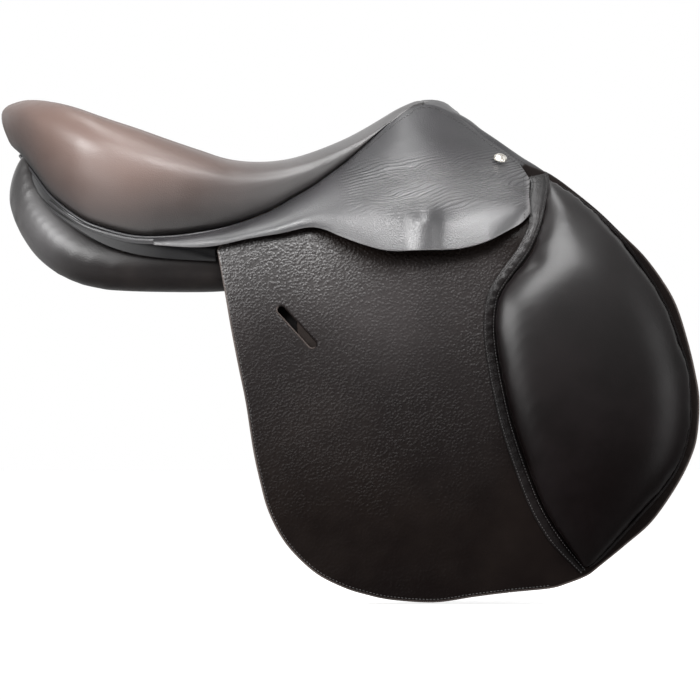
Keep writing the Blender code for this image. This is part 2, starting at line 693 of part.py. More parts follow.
# Panels: flocked cushions either side of the channel that clears the horse's spine
PANEL_ROUND = 2.6
PANEL_AROUND = 20
for side_name, side in SIDES.items():
    bm = bmesh.new()
    rings = []
    for x, y_in, y_out, low_out, low_in, top_out, top_in in PANEL_STATIONS:
        ring = []
        for k in range(PANEL_AROUND):
            turn = 2 * math.pi * (k + 0.5) / PANEL_AROUND
            u = math.copysign(abs(math.cos(turn)) ** (2 / PANEL_ROUND), math.cos(turn))
            w = math.copysign(abs(math.sin(turn)) ** (2 / PANEL_ROUND), math.sin(turn))
            w = -1.0 if w < -0.99 else w
            out = (u + 1) / 2
            bottom = low_in + (low_out - low_in) * out
            top = top_in + (top_out - top_in) * out
            y = y_in + (y_out - y_in) * out
            z = (top + bottom) / 2 + (top - bottom) / 2 * w
            ring.append(bm.verts.new((x * mm, side * y * mm, z * mm)))
        rings.append(ring)
    for a, b in zip(rings, rings[1:]):
        for k in range(PANEL_AROUND):
            bm.faces.new((a[k], a[(k + 1) % PANEL_AROUND], b[(k + 1) % PANEL_AROUND], b[k]))
    bm.faces.new(rings[0])
    bm.faces.new(rings[-1])
    finish("panel_" + side_name, bm, LINING, 50.0)

# Bridges: leather that joins the two panels across the channel, front and rear
def panel_top(x, y):
    """Level of a panel's upper side, in metres."""
    rows = np.array(PANEL_STATIONS, float)
    y_in, y_out, low_out, low_in, top_out, top_in = (
        float(np.interp(x / mm, rows[:, 0], rows[:, k])) for k in range(1, 7)
    )
    out = (y / mm - y_in) / (y_out - y_in)
    across = abs(2 * out - 1)
    bulge = (1 - across**PANEL_ROUND) ** (1 / PANEL_ROUND)
    top, low = top_in + (top_out - top_in) * out, low_in + (low_out - low_in) * out
    return ((top + low) / 2 + (top - low) / 2 * bulge) * mm


foot_y = 47 * mm
foot = panel_top(BRIDGE_AT, foot_y) + FACING_LEATHER / 2 + 2 * GAP
half = [(0, 131), (10, 130.5), (25, 127), (36, 119)]
across = [Vector((BRIDGE_AT, y * mm, z * mm)) for y, z in half] + [Vector((BRIDGE_AT, foot_y, foot))]
across = [Vector((p.x, -p.y, p.z)) for p in across[:0:-1]] + across
sweep("front_bridge", across, oblong(24 * mm, FACING_LEATHER), LINING, up=Vector((0, 0, 1)), angle=20)
inner = PANEL_STATIONS[2][1] * mm - REAR_BRIDGE_CLEARANCE
near, far = ((x, y, z) for x, y, z in zip(REAR_BRIDGE_X, (-inner, inner), REAR_BRIDGE_Z))
box("rear_bridge", near, far, LINING)

# Flaps: one hide from under the skirt to the free edge, folding just below the skirt's hem
visible = smooth(points_of(FLAP_EDGE), 58)
FLAP_OUTLINE = [(p.x, p.y) for p in visible] + points_of(FLAP_HIDDEN)
round_end = [math.radians(36 * k - 90) for k in range(6)]
straight = (SLOT_LENGTH - SLOT_WIDTH) / 2
SLOT_OUTLINE = [(straight + SLOT_WIDTH / 2 * math.cos(t), SLOT_WIDTH / 2 * math.sin(t)) for t in round_end]
SLOT_OUTLINE += [(-x, -z) for x, z in SLOT_OUTLINE]
for side_name, side in SIDES.items():
    layer(
        "flap_top_" + side_name, FLAP_OUTLINE, side, 0.0, FLAP_LEATHER, FLAP_BROWN, fold=FLAP_FOLD, below=False,
    )
    flap = layer("flap_" + side_name, FLAP_OUTLINE, side, 0.0, FLAP_LEATHER, FLAP_BROWN, fold=FLAP_FOLD)
    bm = bmesh.new()
    ends = []
    for reach in (-22 * mm, 22 * mm):
        end = []
        for x, z in SLOT_OUTLINE:
            turned = Vector((x, z)) @ Matrix.Rotation(-SLOT_SLANT, 2)
            y = splay(SLOT_CENTRE[1]) + reach
            end.append(bm.verts.new((SLOT_CENTRE[0] + turned.x, side * y, SLOT_CENTRE[1] + turned.y)))
        ends.append(end)
        bm.faces.new(end)
    for k in range(len(SLOT_OUTLINE)):
        n = (k + 1) % len(SLOT_OUTLINE)
        bm.faces.new((ends[0][k], ends[0][n], ends[1][n], ends[1][k]))
    subtract(flap, cutter("slot_cutter_" + side_name, bm))

# Knee pads: crowned cushions on the flap, thin where the flap folds, with the creased band behind them
rear_line = smooth(points_of(PAD_REAR), 16)
front_line = smooth(points_of(PAD_FRONT), 22)
PAD_OUTLINE = [(p.x, p.y) for p in rear_line] + [(p.x, p.y) for p in front_line]
PAD_CENTRE = Vector((262 * mm, -78 * mm))
PAD_RINGS = ((1.0, 0.0), (0.95, 0.55), (0.84, 0.88), (0.64, 1.0), (0.35, 1.0))


def from_fold(x, z):
    """Distance of a point of the flap from its fold line."""
    up = fold_normal(FLAP_FOLD)
    return abs((x - FLAP_FOLD[0][0]) * up.x + (z - FLAP_FOLD[0][1]) * up.z)


def pad_surface(x, z, height):
    """Half-width of a cushion's outer face. Near the fold it stays inside the fold's axis."""
    face = hang(x, z) + FLAP_LEATHER + GAP + PAD_EDGE + height
    (x0, z0), (x1, z1) = FLAP_FOLD
    axis = splay(z0 + (z1 - z0) * (x - x0) / (x1 - x0)) + FLAP_LEATHER + FLAP_FOLD_LIFT
    limit = axis - 0.3 * mm + 0.55 * from_fold(x, z)
    return max(hang(x, z) + FLAP_LEATHER + GAP + 1.2 * mm, min(face, limit))


def around(bm):
    """The points of a flat mesh's one boundary, in order."""
    first = next(e for e in bm.edges if e.is_boundary).verts[0]
    ordered, here, before = [first], first, None
    while True:
        ahead = [e for e in here.link_edges if e.is_boundary and e is not before]
        before = ahead[0]
        here = before.other_vert(here)
        if here is first:
            return ordered
        ordered.append(here)


for side_name, side in SIDES.items():
    for name, below in (("knee_pad_top_", False), ("knee_pad_", True)):
        bm = flat_cells(PAD_OUTLINE, True, FLAP_FOLD, below)
        ordered = around(bm)
        base = [Vector((v.co.x, v.co.z)) for v in ordered]
        centre = PAD_CENTRE if below else sum(base, Vector((0, 0))) / len(base)
        crown = PAD_CROWN if below else PAD_TOP_CROWN
        for v in bm.verts:
            v.co.y = side * (hang(v.co.x, v.co.z) + FLAP_LEATHER + GAP)
        rings = [ordered]
        for scale, rise in PAD_RINGS:
            ring = []
            for p in base:
                q = centre + (p - centre) * scale
                ring.append(bm.verts.new((q.x, side * pad_surface(q.x, q.y, crown * rise), q.y)))
            rings.append(ring)
        n = len(base)
        for a, b in zip(rings, rings[1:]):
            for k in range(n):
                bm.faces.new((a[k], a[(k + 1) % n], b[(k + 1) % n], b[k]))
        peak = bm.verts.new((centre.x, side * pad_surface(centre.x, centre.y, crown), centre.y))
        for k in range(n):
            bm.faces.new((rings[-1][k], rings[-1][(k + 1) % n], peak))
        finish(name + side_name, bm, PAD_BLACK, 35.0)

line = [Vector((p.x, p.y)) for p in rear_line]
band_near, band_far = [], []
for i, p in enumerate(line):
    along = (line[min(i + 1, len(line) - 1)] - line[max(i - 1, 0)]).normalized()
    back = Vector((along.y, -along.x))
    if back.x > 0:
        back = -back
    band_near.append(tuple(p + back * (GAP + 0.2 * mm)))
    band_far.append(tuple(p + back * (GAP + 0.2 * mm + BAND_WIDTH)))
for side_name, side in SIDES.items():
    layer(
        "knee_band_" + side_name, band_near + band_far[::-1], side, FLAP_LEATHER + GAP, BAND_THICK,
        SKIRT_BLACK, fold=FLAP_FOLD,
    )

# Sweat flaps under the straps, with the knee and thigh blocks on them
sweat_edge = [p for p in shrink([(q.x, q.y) for q in visible], 15 * mm) if p.y < 36 * mm and -54 * mm < p.x]
SWEAT_OUTLINE = [tuple(p) for p in sweat_edge] + [(150 * mm, 44 * mm), (-30 * mm, 44 * mm)]
KNEE_BLOCK = ((196, 22), (228, 26), (258, 8), (276, -30), (280, -80), (270, -120), (248, -140), (226, -120),
              (214, -70), (204, -20))
THIGH_BLOCK = ((-36, -70), (-24, -66), (-18, -90), (-11, -140), (-8, -168), (-11, -176), (-16, -170),
               (-25, -130))
for side_name, side in SIDES.items():
    layer("sweat_flap_" + side_name, SWEAT_OUTLINE, side, -UNDER_FLAP - SWEAT_LEATHER, SWEAT_LEATHER, STRAP)
    for name, outline in (("knee_block_", KNEE_BLOCK), ("thigh_block_", THIGH_BLOCK)):
        rounded = [(p.x, p.y) for p in smooth(points_of(outline), 20, closed=True)]
        layer(name + side_name, rounded, side, -UNDER_FLAP + GAP, BLOCK_DEPTH, FOAM)

# Girth straps: three on each side, hanging from the webs, punched, and a guard that slides on them
BILLETS = (("front", BILLET_MIDDLE + BILLET_SPACING), ("middle", BILLET_MIDDLE),
           ("rear", BILLET_MIDDLE - BILLET_SPACING))
BILLET_IN = -UNDER_FLAP + 4.6 * mm
for side_name, side in SIDES.items():
    holes = bmesh.new()
    for _, x in BILLETS:
        for k in range(HOLE_COUNT):
            z = BILLET_TIP + 26 * mm + HOLE_PITCH * k
            y = splay(z) + BILLET_IN + BILLET_LEATHER / 2
            place = Matrix.Translation((x, side * y, z)) @ Matrix.Rotation(math.pi / 2, 4, "X")
            bmesh.ops.create_cone(
                holes, cap_ends=True, segments=6, radius1=HOLE_RADIUS, radius2=HOLE_RADIUS,
                depth=3 * BILLET_LEATHER, matrix=place,
            )
    punch = cutter("hole_cutter_" + side_name, holes)
    for label, x in BILLETS:
        half = BILLET_WIDTH / 2
        outline = [
            (x - half, BILLET_TOP), (x - half, BILLET_TIP + 10 * mm), (x - half * 0.55, BILLET_TIP),
            (x + half * 0.55, BILLET_TIP), (x + half, BILLET_TIP + 10 * mm), (x + half, BILLET_TOP),
        ]
        billet = layer(
            f"billet_{label}_{side_name}", outline, side, BILLET_IN, BILLET_LEATHER, STRAP, bends=False
        )
        subtract(billet, punch)

GUARD_HALF = BILLET_SPACING + BILLET_WIDTH / 2 + GUARD_MARGIN
for side_name, side in SIDES.items():
    left, right = BILLET_MIDDLE - GUARD_HALF, BILLET_MIDDLE + GUARD_HALF
    low = GUARD_TOP - GUARD_HEIGHT
    plate = [
        (left, GUARD_TOP), (left, low + 16 * mm), (left + 6 * mm, low + 4 * mm), (left + 20 * mm, low),
        (right - 20 * mm, low), (right - 6 * mm, low + 4 * mm), (right, low + 16 * mm), (right, GUARD_TOP),
    ]
    strap = [(left, GUARD_TOP - 8 * mm), (left, GUARD_TOP - 8 * mm - GUARD_SLEEVE),
             (right, GUARD_TOP - 8 * mm - GUARD_SLEEVE), (right, GUARD_TOP - 8 * mm)]
    room = [(left + 3 * mm, 30 * mm), (left + 3 * mm, low - 30 * mm), (right - 3 * mm, low - 30 * mm),
            (right - 3 * mm, 30 * mm)]
    face = BILLET_IN + BILLET_LEATHER + GUARD_CLEARANCE
    depth = 2 * GUARD_CLEARANCE + BILLET_LEATHER + 2 * GUARD_LEATHER
    guard = layer("buckle_guard_" + side_name, plate, side, face, GUARD_LEATHER, STRAP, bends=False)
    sleeve = layer(
        "sleeve_" + side_name, strap, side, face + GUARD_LEATHER * 0.6 - depth, depth, STRAP, bends=False
    )
    space = layer(
        "sleeve_room_" + side_name, room, side, BILLET_IN - GUARD_CLEARANCE,
        BILLET_LEATHER + 2 * GUARD_CLEARANCE, STRAP, bends=False,
    )
    for helper in (sleeve, space):
        helper.hide_render = True
        helper.display_type = "WIRE"
    join = guard.modifiers.new("sleeve", "BOOLEAN")
    join.operation = "UNION"
    join.solver = "EXACT"
    join.object = sleeve
    subtract(guard, space)

# Webs over the tree that carry the girth straps, and the seat's own web between the rails
WEB_SHOULDER = (85 * mm, 80 * mm)
WEB_HANGS = (52 * mm, 8 * mm)
SEAT_WEB_WIDTH = 42 * mm
WEB_OUT = BILLET_IN - GAP
WEB_LEVEL = WEB_THICK / 2 + GAP
for label, top_x, x in (("front", 76 * mm, BILLET_MIDDLE + BILLET_SPACING),
                        ("rear", 34 * mm, BILLET_MIDDLE - BILLET_SPACING / 2)):
    slope = (board(top_x + WEB_WIDTH / 2) - board(top_x - WEB_WIDTH / 2)) / WEB_WIDTH
    top = board(top_x) - WEB_LEVEL - 0.6 * mm
    brow = read(RAIL_LINE, top_x) + RAIL_WIDTH / 2 + 3 * mm
    half = [(top_x, 0.0, top), (top_x, brow, top), (top_x * 0.8 + x * 0.2, brow + 12 * mm, top - 12 * mm)]
    half.append((x, *WEB_SHOULDER))
    half += [(x, splay(z) + WEB_OUT - WEB_THICK / 2, z) for z in WEB_HANGS]
    path = [Vector((x, -y, z)) for x, y, z in half[:0:-1]] + [Vector(p) for p in half]
    ups = []
    for p in path:
        over = Vector((-slope, 0, 1)).normalized()
        beside = Vector((0, math.copysign(1, p.y), math.tan(SIDE_SPLAY))).normalized()
        turned = min(1.0, max(0.0, (abs(p.y) - brow) / (38 * mm)))
        ups.append(over.lerp(beside, turned))
    sweep(f"{label}_girth_web", path, oblong(WEB_WIDTH, WEB_THICK), WEBBING, up=ups.__getitem__, angle=20)
path = [Vector((x * mm, 0, board(x * mm) - WEB_LEVEL - WEB_THICK - 9 * GAP)) for x in range(-230, 91, 20)]
sweep("seat_web", path, oblong(SEAT_WEB_WIDTH, WEB_THICK), WEBBING, angle=20)

# Tree: laminated rails, head and cantle, springs, plates and stirrup bars
for side_name, side in SIDES.items():
    path = [
        Vector((p.x, side * p.y, board(p.x) - RAIL_THICK / 2 - RAIL_DROP))
        for p in smooth(points_of(RAIL_LINE), 14)
    ]
    sweep("tree_rail_" + side_name, path, oblong(RAIL_WIDTH, RAIL_THICK), BEECH, angle=20)
    drop = RAIL_THICK / 2 + GAP + 0.3 * mm + PLATE_STEEL / 2
    spring = []
    for before, here, after in zip(path[1:], path[2:], path[3:]):
        along = (after - before).normalized()
        spring.append(here - along.cross(Vector((0, 0, 1))).cross(along).normalized() * drop)
    sweep("tree_spring_" + side_name, spring, oblong(RAIL_WIDTH * 0.45, PLATE_STEEL), BLUED, angle=20)


def head_path(offset, count):
    """The head's line, over both sides, moved off along its own normal across the horse."""
    half = smooth(points_of(HEAD_LINE), count)
    moved = []
    for i, p in enumerate(half):
        along = half[min(i + 1, count - 1)] - half[max(i - 1, 0)]
        if i == 0:
            along = Vector((0, 1, 0))
        moved.append(p + Vector((0, -along.z, along.y)).normalized() * offset)
    moved[0].y = 0.0
    return [Vector((p.x, -p.y, p.z)) for p in moved[:0:-1]] + moved


def head_up(path):
    def up(i):
        along = path[min(i + 1, len(path) - 1)] - path[max(i - 1, 0)]
        return Vector((0, -along.z, along.y))

    return up


line = head_path(0.0, 8)
sweep("tree_head", line, oblong(HEAD_WIDTH, HEAD_THICK), BEECH, up=head_up(line), angle=20)
for name, offset in (("head_plate", 1), ("gullet_plate", -1)):
    line = head_path(offset * (HEAD_THICK / 2 + 3.5 * GAP + PLATE_STEEL / 2), 8)[1:-1]
    sweep(name, line, oblong(HEAD_WIDTH * 0.8, PLATE_STEEL), STEEL, up=head_up(line), angle=20)

CANTLE_LINE = ((-200, -86), (-216, -76), (-231, -54), (-239, -28), (-242, 0), (-239, 28), (-231, 54),
               (-216, 76), (-200, 86))
path = [Vector((p.x, p.y, board(p.x) - 12 * mm)) for p in smooth(points_of(CANTLE_LINE), 15)]
sweep("tree_cantle", path, oblong(8 * mm, 22 * mm), BEECH, angle=20)

# Stirrup bars: a plate riveted to the head, an arm open at the rear, and a catch that turns up behind it
BAR_ARM_Y = BAR_PLATE_Y + BAR_STEEL + BAR_SLOT
ARM_FRONT = BAR_REAR + BAR_LENGTH
low, high = BAR_LEVEL - BAR_HEIGHT / 2, BAR_LEVEL + BAR_HEIGHT / 2
for side_name, side in SIDES.items():
    plate_out = BAR_PLATE_Y + BAR_STEEL
    plan = [
        (BAR_REAR, BAR_PLATE_Y), (ARM_FRONT + 22 * mm, BAR_PLATE_Y), (ARM_FRONT + 22 * mm, plate_out),
        (ARM_FRONT + 4 * mm, plate_out), (ARM_FRONT + 4 * mm, BAR_ARM_Y + 1 * mm),
        (ARM_FRONT, BAR_ARM_Y + BAR_STEEL + 1 * mm), (BAR_REAR, BAR_ARM_Y + BAR_STEEL + 1 * mm),
        (BAR_REAR, BAR_ARM_Y), (ARM_FRONT - 3 * mm, BAR_ARM_Y), (ARM_FRONT - 3 * mm, plate_out),
        (BAR_REAR, plate_out),
    ]
    bm = bmesh.new()
    bottom = [bm.verts.new((x, side * y, low)) for x, y in plan]
    face = bm.faces.new(bottom)
    grown = bmesh.ops.extrude_face_region(bm, geom=[face])
    for v in grown["geom"]:
        if isinstance(v, bmesh.types.BMVert):
            v.co.z = high
    bar = finish("stirrup_bar_" + side_name, bm, STEEL, 20.0)

    pivot = Vector((BAR_REAR + 5 * mm, 0, BAR_LEVEL))
    hole = bmesh.new()
    place = Matrix.Translation((pivot.x, side * BAR_ARM_Y, pivot.z)) @ Matrix.Rotation(math.pi / 2, 4, "X")
    bmesh.ops.create_cone(
        hole, cap_ends=True, segments=12, radius1=PIN_RADIUS + GAP, radius2=PIN_RADIUS + GAP, depth=16 * mm,
        matrix=place,
    )
    bore = cutter("pin_cutter_" + side_name, hole)
    subtract(bar, bore)
    inner_face = BAR_ARM_Y - GAP - CATCH_THICK
    catch = bmesh.new()
    tall = BAR_HEIGHT * 0.42
    outline = [
        (5 * mm, tall), (5 * mm, -tall), (-CATCH_LENGTH + 4 * mm, -tall), (-CATCH_LENGTH, -tall * 0.4),
        (-CATCH_LENGTH, tall * 0.4), (-CATCH_LENGTH + 4 * mm, tall),
    ]
    ring = [catch.verts.new((x, side * inner_face, z)) for x, z in outline]
    face = catch.faces.new(ring)
    grown = bmesh.ops.extrude_face_region(catch, geom=[face])
    for v in grown["geom"]:
        if isinstance(v, bmesh.types.BMVert):
            v.co.y = side * (inner_face + CATCH_THICK)
    hinged = finish("bar_catch_" + side_name, catch, STEEL, 20.0)
    hinged.location = (pivot.x, 0.0, pivot.z)
    subtract(hinged, bore)
    length = CATCH_THICK + GAP + BAR_STEEL + 1.6 * mm
    start = (pivot.x, side * (inner_face - 0.4 * mm), pivot.z)
    cylinder("catch_pin_" + side_name, start, (0, side, 0), PIN_RADIUS, length, STEEL, 12)

    # two rivets hold the plate to the head
    holes = bmesh.new()
    for k, x in enumerate((ARM_FRONT + 9 * mm, ARM_FRONT + 17 * mm)):
        place = Matrix.Translation((x, side * BAR_PLATE_Y, BAR_LEVEL))
        place = place @ Matrix.Rotation(math.pi / 2, 4, "X")
        bmesh.ops.create_cone(
            holes, cap_ends=True, segments=10, radius1=RIVET_RADIUS * 0.55 + GAP,
            radius2=RIVET_RADIUS * 0.55 + GAP, depth=16 * mm, matrix=place,
        )
        rivet = bmesh.new()
        profile = [(0.0, 2.0), (0.6, 1.75), (1.0, 0.9), (1.0, 0.3), (0.55, 0.3), (0.55, -BAR_STEEL / mm)]
        turned = [
            [rivet.verts.new((r * RIVET_RADIUS * math.cos(t), r * RIVET_RADIUS * math.sin(t), h * mm))
             for t in (2 * math.pi * n / 10 for n in range(10))]
            for r, h in profile[1:]
        ]
        for a, b in zip(turned, turned[1:]):
            for n in range(10):
                rivet.faces.new((a[n], a[(n + 1) % 10], b[(n + 1) % 10], b[n]))
        rivet.faces.new(turned[0])
        rivet.faces.new(turned[-1])
        turn = Vector((0, side, 0)).to_track_quat("Z", "Y").to_matrix().to_4x4()
        at = Matrix.Translation((x, side * (BAR_PLATE_Y + BAR_STEEL), BAR_LEVEL))
        bmesh.ops.transform(rivet, matrix=at @ turn, verts=rivet.verts[:])
        finish(f"bar_rivet_{'rear' if k == 0 else 'front'}_{side_name}", rivet, STEEL)
    bored = bar.modifiers.new("rivets", "BOOLEAN")
    bored.operation = "DIFFERENCE"
    bored.solver = "EXACT"
    bored.object = cutter("rivet_cutter_" + side_name, holes)


def carry(name, place, members):
    """An empty on a joint's axis, carrying the pieces that move about it."""
    axis = bpy.data.objects.new(name, None)
    axis.location = place
    bpy.context.collection.objects.link(axis)
    for member in members:
        piece = bpy.data.objects[member]
        piece.parent = axis
        piece.location = piece.location - Vector(place)


def flap_axis(end):
    """An end of the flap's fold axis, just outside the flap's outer face."""
    x, z = FLAP_FOLD[end]
    return x, splay(z) + FLAP_LEATHER + FLAP_FOLD_LIFT, z


def skirt_axis(end):
    """An end of the lobe's axis: a straight line that stays outside the whole curved skirt."""
    (x0, z0), (x1, z1) = SKIRT_FOLD
    outside = []
    for x in np.linspace(x0, min(x1, skirt_to), 12):
        z = z0 + (z1 - z0) * (x - x0) / (x1 - x0)
        y = skirt_point(float(x), share_down(float(x), z)).y + SKIRT_LEATHER * 1.2 + SKIRT_FOLD_LIFT
        outside.append(y - SKIRT_FOLD_TAPER * (x - x0))
    x, z = SKIRT_FOLD[end]
    return x, float(max(outside)) + SKIRT_FOLD_TAPER * (x - x0), z


for side_name, side in SIDES.items():
    x, y, z = flap_axis(0)
    carry("flap_fold_" + side_name, (x, side * y, z),
          ["flap_" + side_name, "knee_pad_" + side_name, "knee_band_" + side_name])
    x, y, z = skirt_axis(0)
    carry("skirt_fold_" + side_name, (x, side * y, z), ["skirt_lobe_" + side_name])
    billets = [f"billet_{label}_{side_name}" for label, _ in BILLETS]
    level = BILLET_TOP - 6 * mm
    carry("girth_swing_" + side_name, (BILLET_MIDDLE, side * splay(level), level),
          billets + ["buckle_guard_" + side_name])
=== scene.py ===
import math

import bmesh
import bpy
import numpy as np
from mathutils import Matrix, Vector


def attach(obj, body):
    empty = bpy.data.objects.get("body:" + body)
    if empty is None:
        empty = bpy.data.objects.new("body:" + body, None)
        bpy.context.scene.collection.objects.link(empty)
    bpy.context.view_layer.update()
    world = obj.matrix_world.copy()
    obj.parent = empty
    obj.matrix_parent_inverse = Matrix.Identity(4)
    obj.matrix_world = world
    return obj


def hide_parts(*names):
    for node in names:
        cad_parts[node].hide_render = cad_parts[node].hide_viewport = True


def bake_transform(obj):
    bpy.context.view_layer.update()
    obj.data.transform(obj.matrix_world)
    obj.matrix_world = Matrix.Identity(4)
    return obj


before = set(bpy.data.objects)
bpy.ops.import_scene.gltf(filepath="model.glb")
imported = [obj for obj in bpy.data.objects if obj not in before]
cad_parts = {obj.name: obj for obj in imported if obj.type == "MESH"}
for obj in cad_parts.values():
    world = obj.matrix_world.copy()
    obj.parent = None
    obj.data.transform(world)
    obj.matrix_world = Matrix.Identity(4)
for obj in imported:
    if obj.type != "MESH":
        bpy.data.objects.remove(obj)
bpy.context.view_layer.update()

scene = bpy.context.scene
mm = 0.001
sides = {"left": 1.0, "right": -1.0}

# camera, from the off side, level with the saddle
cameraSet = {"aim": (0.045, -0.16, -0.0531), "distance": 20.0, "elevation": 0.8, "wide": 0.630,
             "sensor": 36.0}


def makeCamera(s):
    data = bpy.data.cameras.new("camera")
    data.sensor_width = s["sensor"]
    data.lens = s["sensor"] * s["distance"] / s["wide"]
    data.clip_end = 3 * s["distance"]
    camera = bpy.data.objects.new("camera", data)
    scene.collection.objects.link(camera)
    tilt = math.radians(s["elevation"])
    back = Vector((0.0, -math.cos(tilt), math.sin(tilt)))
    camera.location = Vector(s["aim"]) + back * s["distance"]
    camera.rotation_mode = "QUATERNION"
    camera.rotation_quaternion = (-back).to_track_quat("-Z", "Y")
    scene.camera = camera


makeCamera(cameraSet)
print("camera set")


# helpers for numbers, curves and outlines
def ramp(value, start, width):
    return np.clip((value - start) / width, 0, 1)


def inMetres(table):  # tables of points are in millimetres
    return [tuple(v * mm for v in row) for row in table]


def readTable(table, x):
    rows = np.array(table, float)
    return np.interp(x / mm, rows[:, 0], rows[:, 1]) * mm


def evenCurve(points, count):
    known = [np.array(p, float) for p in points]
    known = [2 * known[0] - known[1]] + known + [2 * known[-1] - known[-2]]
    dense = []
    for a, b, c, d in zip(known, known[1:], known[2:], known[3:]):
        for t in np.linspace(0, 1, 16, endpoint=False):
            dense.append(0.5 * (2 * b + (c - a) * t + (2 * a - 5 * b + 4 * c - d) * t**2
                                + (3 * b - a - 3 * c + d) * t**3))
    dense = np.array(dense + [known[-2]])
    run = np.concatenate([[0], np.cumsum(np.linalg.norm(np.diff(dense, axis=0), axis=1))])
    at = np.linspace(0, run[-1], count)
    return [Vector([np.interp(s, run, dense[:, k]) for k in range(dense.shape[1])]) for s in at]


def smoothTable(table, count=240):
    return np.array([tuple(p) for p in evenCurve(inMetres(table), count)])


def headingAt(line, i, reach=1, closed=False):
    if closed:
        return line[(i + reach) % len(line)] - line[i - reach]
    return line[min(i + reach, len(line) - 1)] - line[max(i - reach, 0)]


def towards(vector, axis, sign=1):
    return -vector if vector[axis] * sign < 0 else vector


def turnOf(points):
    area = sum(a.x * b.y - b.x * a.y for a, b in zip(points, points[1:] + points[:1]))
    return 1.0 if area > 0 else -1.0


def inward(outline, by):
    points = [Vector(p[:2]) for p in outline]
    turn = turnOf(points)
    moved = []
    for i, p in enumerate(points):
        along = headingAt(points, i, closed=True).normalized()
        moved.append(p + Vector((-along.y, along.x)) * turn * by)
    return moved


def distanceTo(outline, points):
    a = np.array(outline)
    b = np.roll(a, -1, axis=0)
    p = np.array(points)[:, None, :]
    ab = b - a
    t = np.clip(((p - a) * ab).sum(2) / np.maximum((ab * ab).sum(1), 1e-12), 0, 1)
    near = a + t[..., None] * ab
    return np.sqrt(((p - near) ** 2).sum(2)).min(1)


# the way the sides hang: distance from the middle plane at a place on the side, and on the flap's hide
hangSet = {"halfWidth": 0.118, "level": 0.080, "splay": math.radians(13), "front": 0.79, "frontFrom": 0.170,
           "rear": 1.0, "rearFrom": -0.020, "rearEnd": -0.076, "top": 8.0, "topFrom": 0.040}
flapLeather = 0.004
seated = 0.0003  # what lies on the flap clears its hide by this
threadLift = 0.0001


def splayAt(z):
    return hangSet["halfWidth"] + (hangSet["level"] - z) * math.tan(hangSet["splay"])


def hangAt(x, z):
    h = hangSet
    return (splayAt(z) - h["front"] * max(0.0, x - h["frontFrom"]) ** 2
            - h["rear"] * max(0.0, h["rearFrom"] - max(x, h["rearEnd"])) ** 2
            - h["top"] * max(0.0, z - h["topFrom"]) ** 2)


def onFlap(x, z, over=seated):
    return hangAt(x, z) + flapLeather + over


# helpers for meshes
def newPiece(name, bm, material, recalc=True):
    if recalc:
        bmesh.ops.recalc_face_normals(bm, faces=bm.faces[:])
    mesh = bpy.data.meshes.new(name)
    bm.to_mesh(mesh)
    bm.free()
    mesh.shade_smooth()
    mesh.materials.append(material)
    made = bpy.data.objects.new(name, mesh)
    scene.collection.objects.link(made)
    return made


def bridge(bm, rows, around=False):
    for a, b in zip(rows, rows[1:]):
        for k in range(len(a) if around else len(a) - 1):
            m = (k + 1) % len(a)
            bm.faces.new((a[k], a[m], b[m], b[k]))


def turnOutward(bm, axis, side=1.0):
    bmesh.ops.recalc_face_normals(bm, faces=bm.faces[:])
    outermost = max(bm.faces, key=lambda f: f.calc_center_median()[axis] * side)
    if outermost.normal[axis] * side < 0:
        bmesh.ops.reverse_faces(bm, faces=bm.faces[:])


def pointsOf(piece):
    return np.array([v.co for v in piece.data.vertices])


def placesOf(piece):  # forward and up, of each point
    return pointsOf(piece).T[[0, 2]]


def movePoints(piece, points):
    piece.data.vertices.foreach_set("co", np.asarray(points, np.float32).ravel())
    piece.data.update()


def setAttribute(piece, name, values):
    attribute = piece.data.attributes.new(name, "FLOAT", "POINT")
    attribute.data.foreach_set("value", np.array(values, np.float32))


def modify(piece, kind, **values):
    modifier = piece.modifiers.new(kind.lower(), kind)
    for key, value in values.items():
        setattr(modifier, key, value)
    return modifier


def rimmed(piece, width, segments, angle):
    modify(piece, "BEVEL", width=width, segments=segments, limit_method="ANGLE",
           angle_limit=math.radians(angle))


def applyModifiers(piece):
    depsgraph = bpy.context.evaluated_depsgraph_get()
    mesh = bpy.data.meshes.new_from_object(piece.evaluated_get(depsgraph))
    mesh.name = piece.name
    piece.modifiers.clear()
    piece.data = mesh
    piece.data.shade_smooth()
    return piece


def mirrored(piece, name):
    bm = bmesh.new()
    bm.from_mesh(piece.data)
    for v in bm.verts:
        v.co.y = -v.co.y
    bmesh.ops.reverse_faces(bm, faces=bm.faces[:])
    return newPiece(name, bm, piece.data.materials[0], recalc=False)


# helpers for materials
def setSockets(tree, node, values):
    for key, value in values.items():
        socket = node.inputs[key]
        if isinstance(value, bpy.types.NodeSocket):
            tree.links.new(value, socket)
        else:
            socket.default_value = (*value, 1.0) if socket.type == "RGBA" else value


def addNode(tree, kind, inputs, **values):
    made = tree.nodes.new(kind)
    for key, value in values.items():
        setattr(made, key, value)
    setSockets(tree, made, inputs)
    return made


def newMaterial(name):
    material = bpy.data.materials.new(name)
    material.use_nodes = True
    tree = material.node_tree
    tree.nodes.clear()
    shader = addNode(tree, "ShaderNodeBsdfPrincipled", {})
    addNode(tree, "ShaderNodeOutputMaterial", {"Surface": shader.outputs[0]})
    return material, tree, shader


def placeOn(tree):
    return addNode(tree, "ShaderNodeTexCoord", {}).outputs["Object"]


def attributeOf(tree, name):
    return addNode(tree, "ShaderNodeAttribute", {}, attribute_name=name).outputs["Fac"]


def mathNode(tree, operation, a, b):
    return addNode(tree, "ShaderNodeMath", {0: a, 1: b}, operation=operation).outputs[0]


def noiseNode(tree, vector, scale, detail, rough=0.55):
    inputs = {"Vector": vector, "Scale": scale, "Detail": detail, "Roughness": rough}
    return addNode(tree, "ShaderNodeTexNoise", inputs).outputs["Fac"]


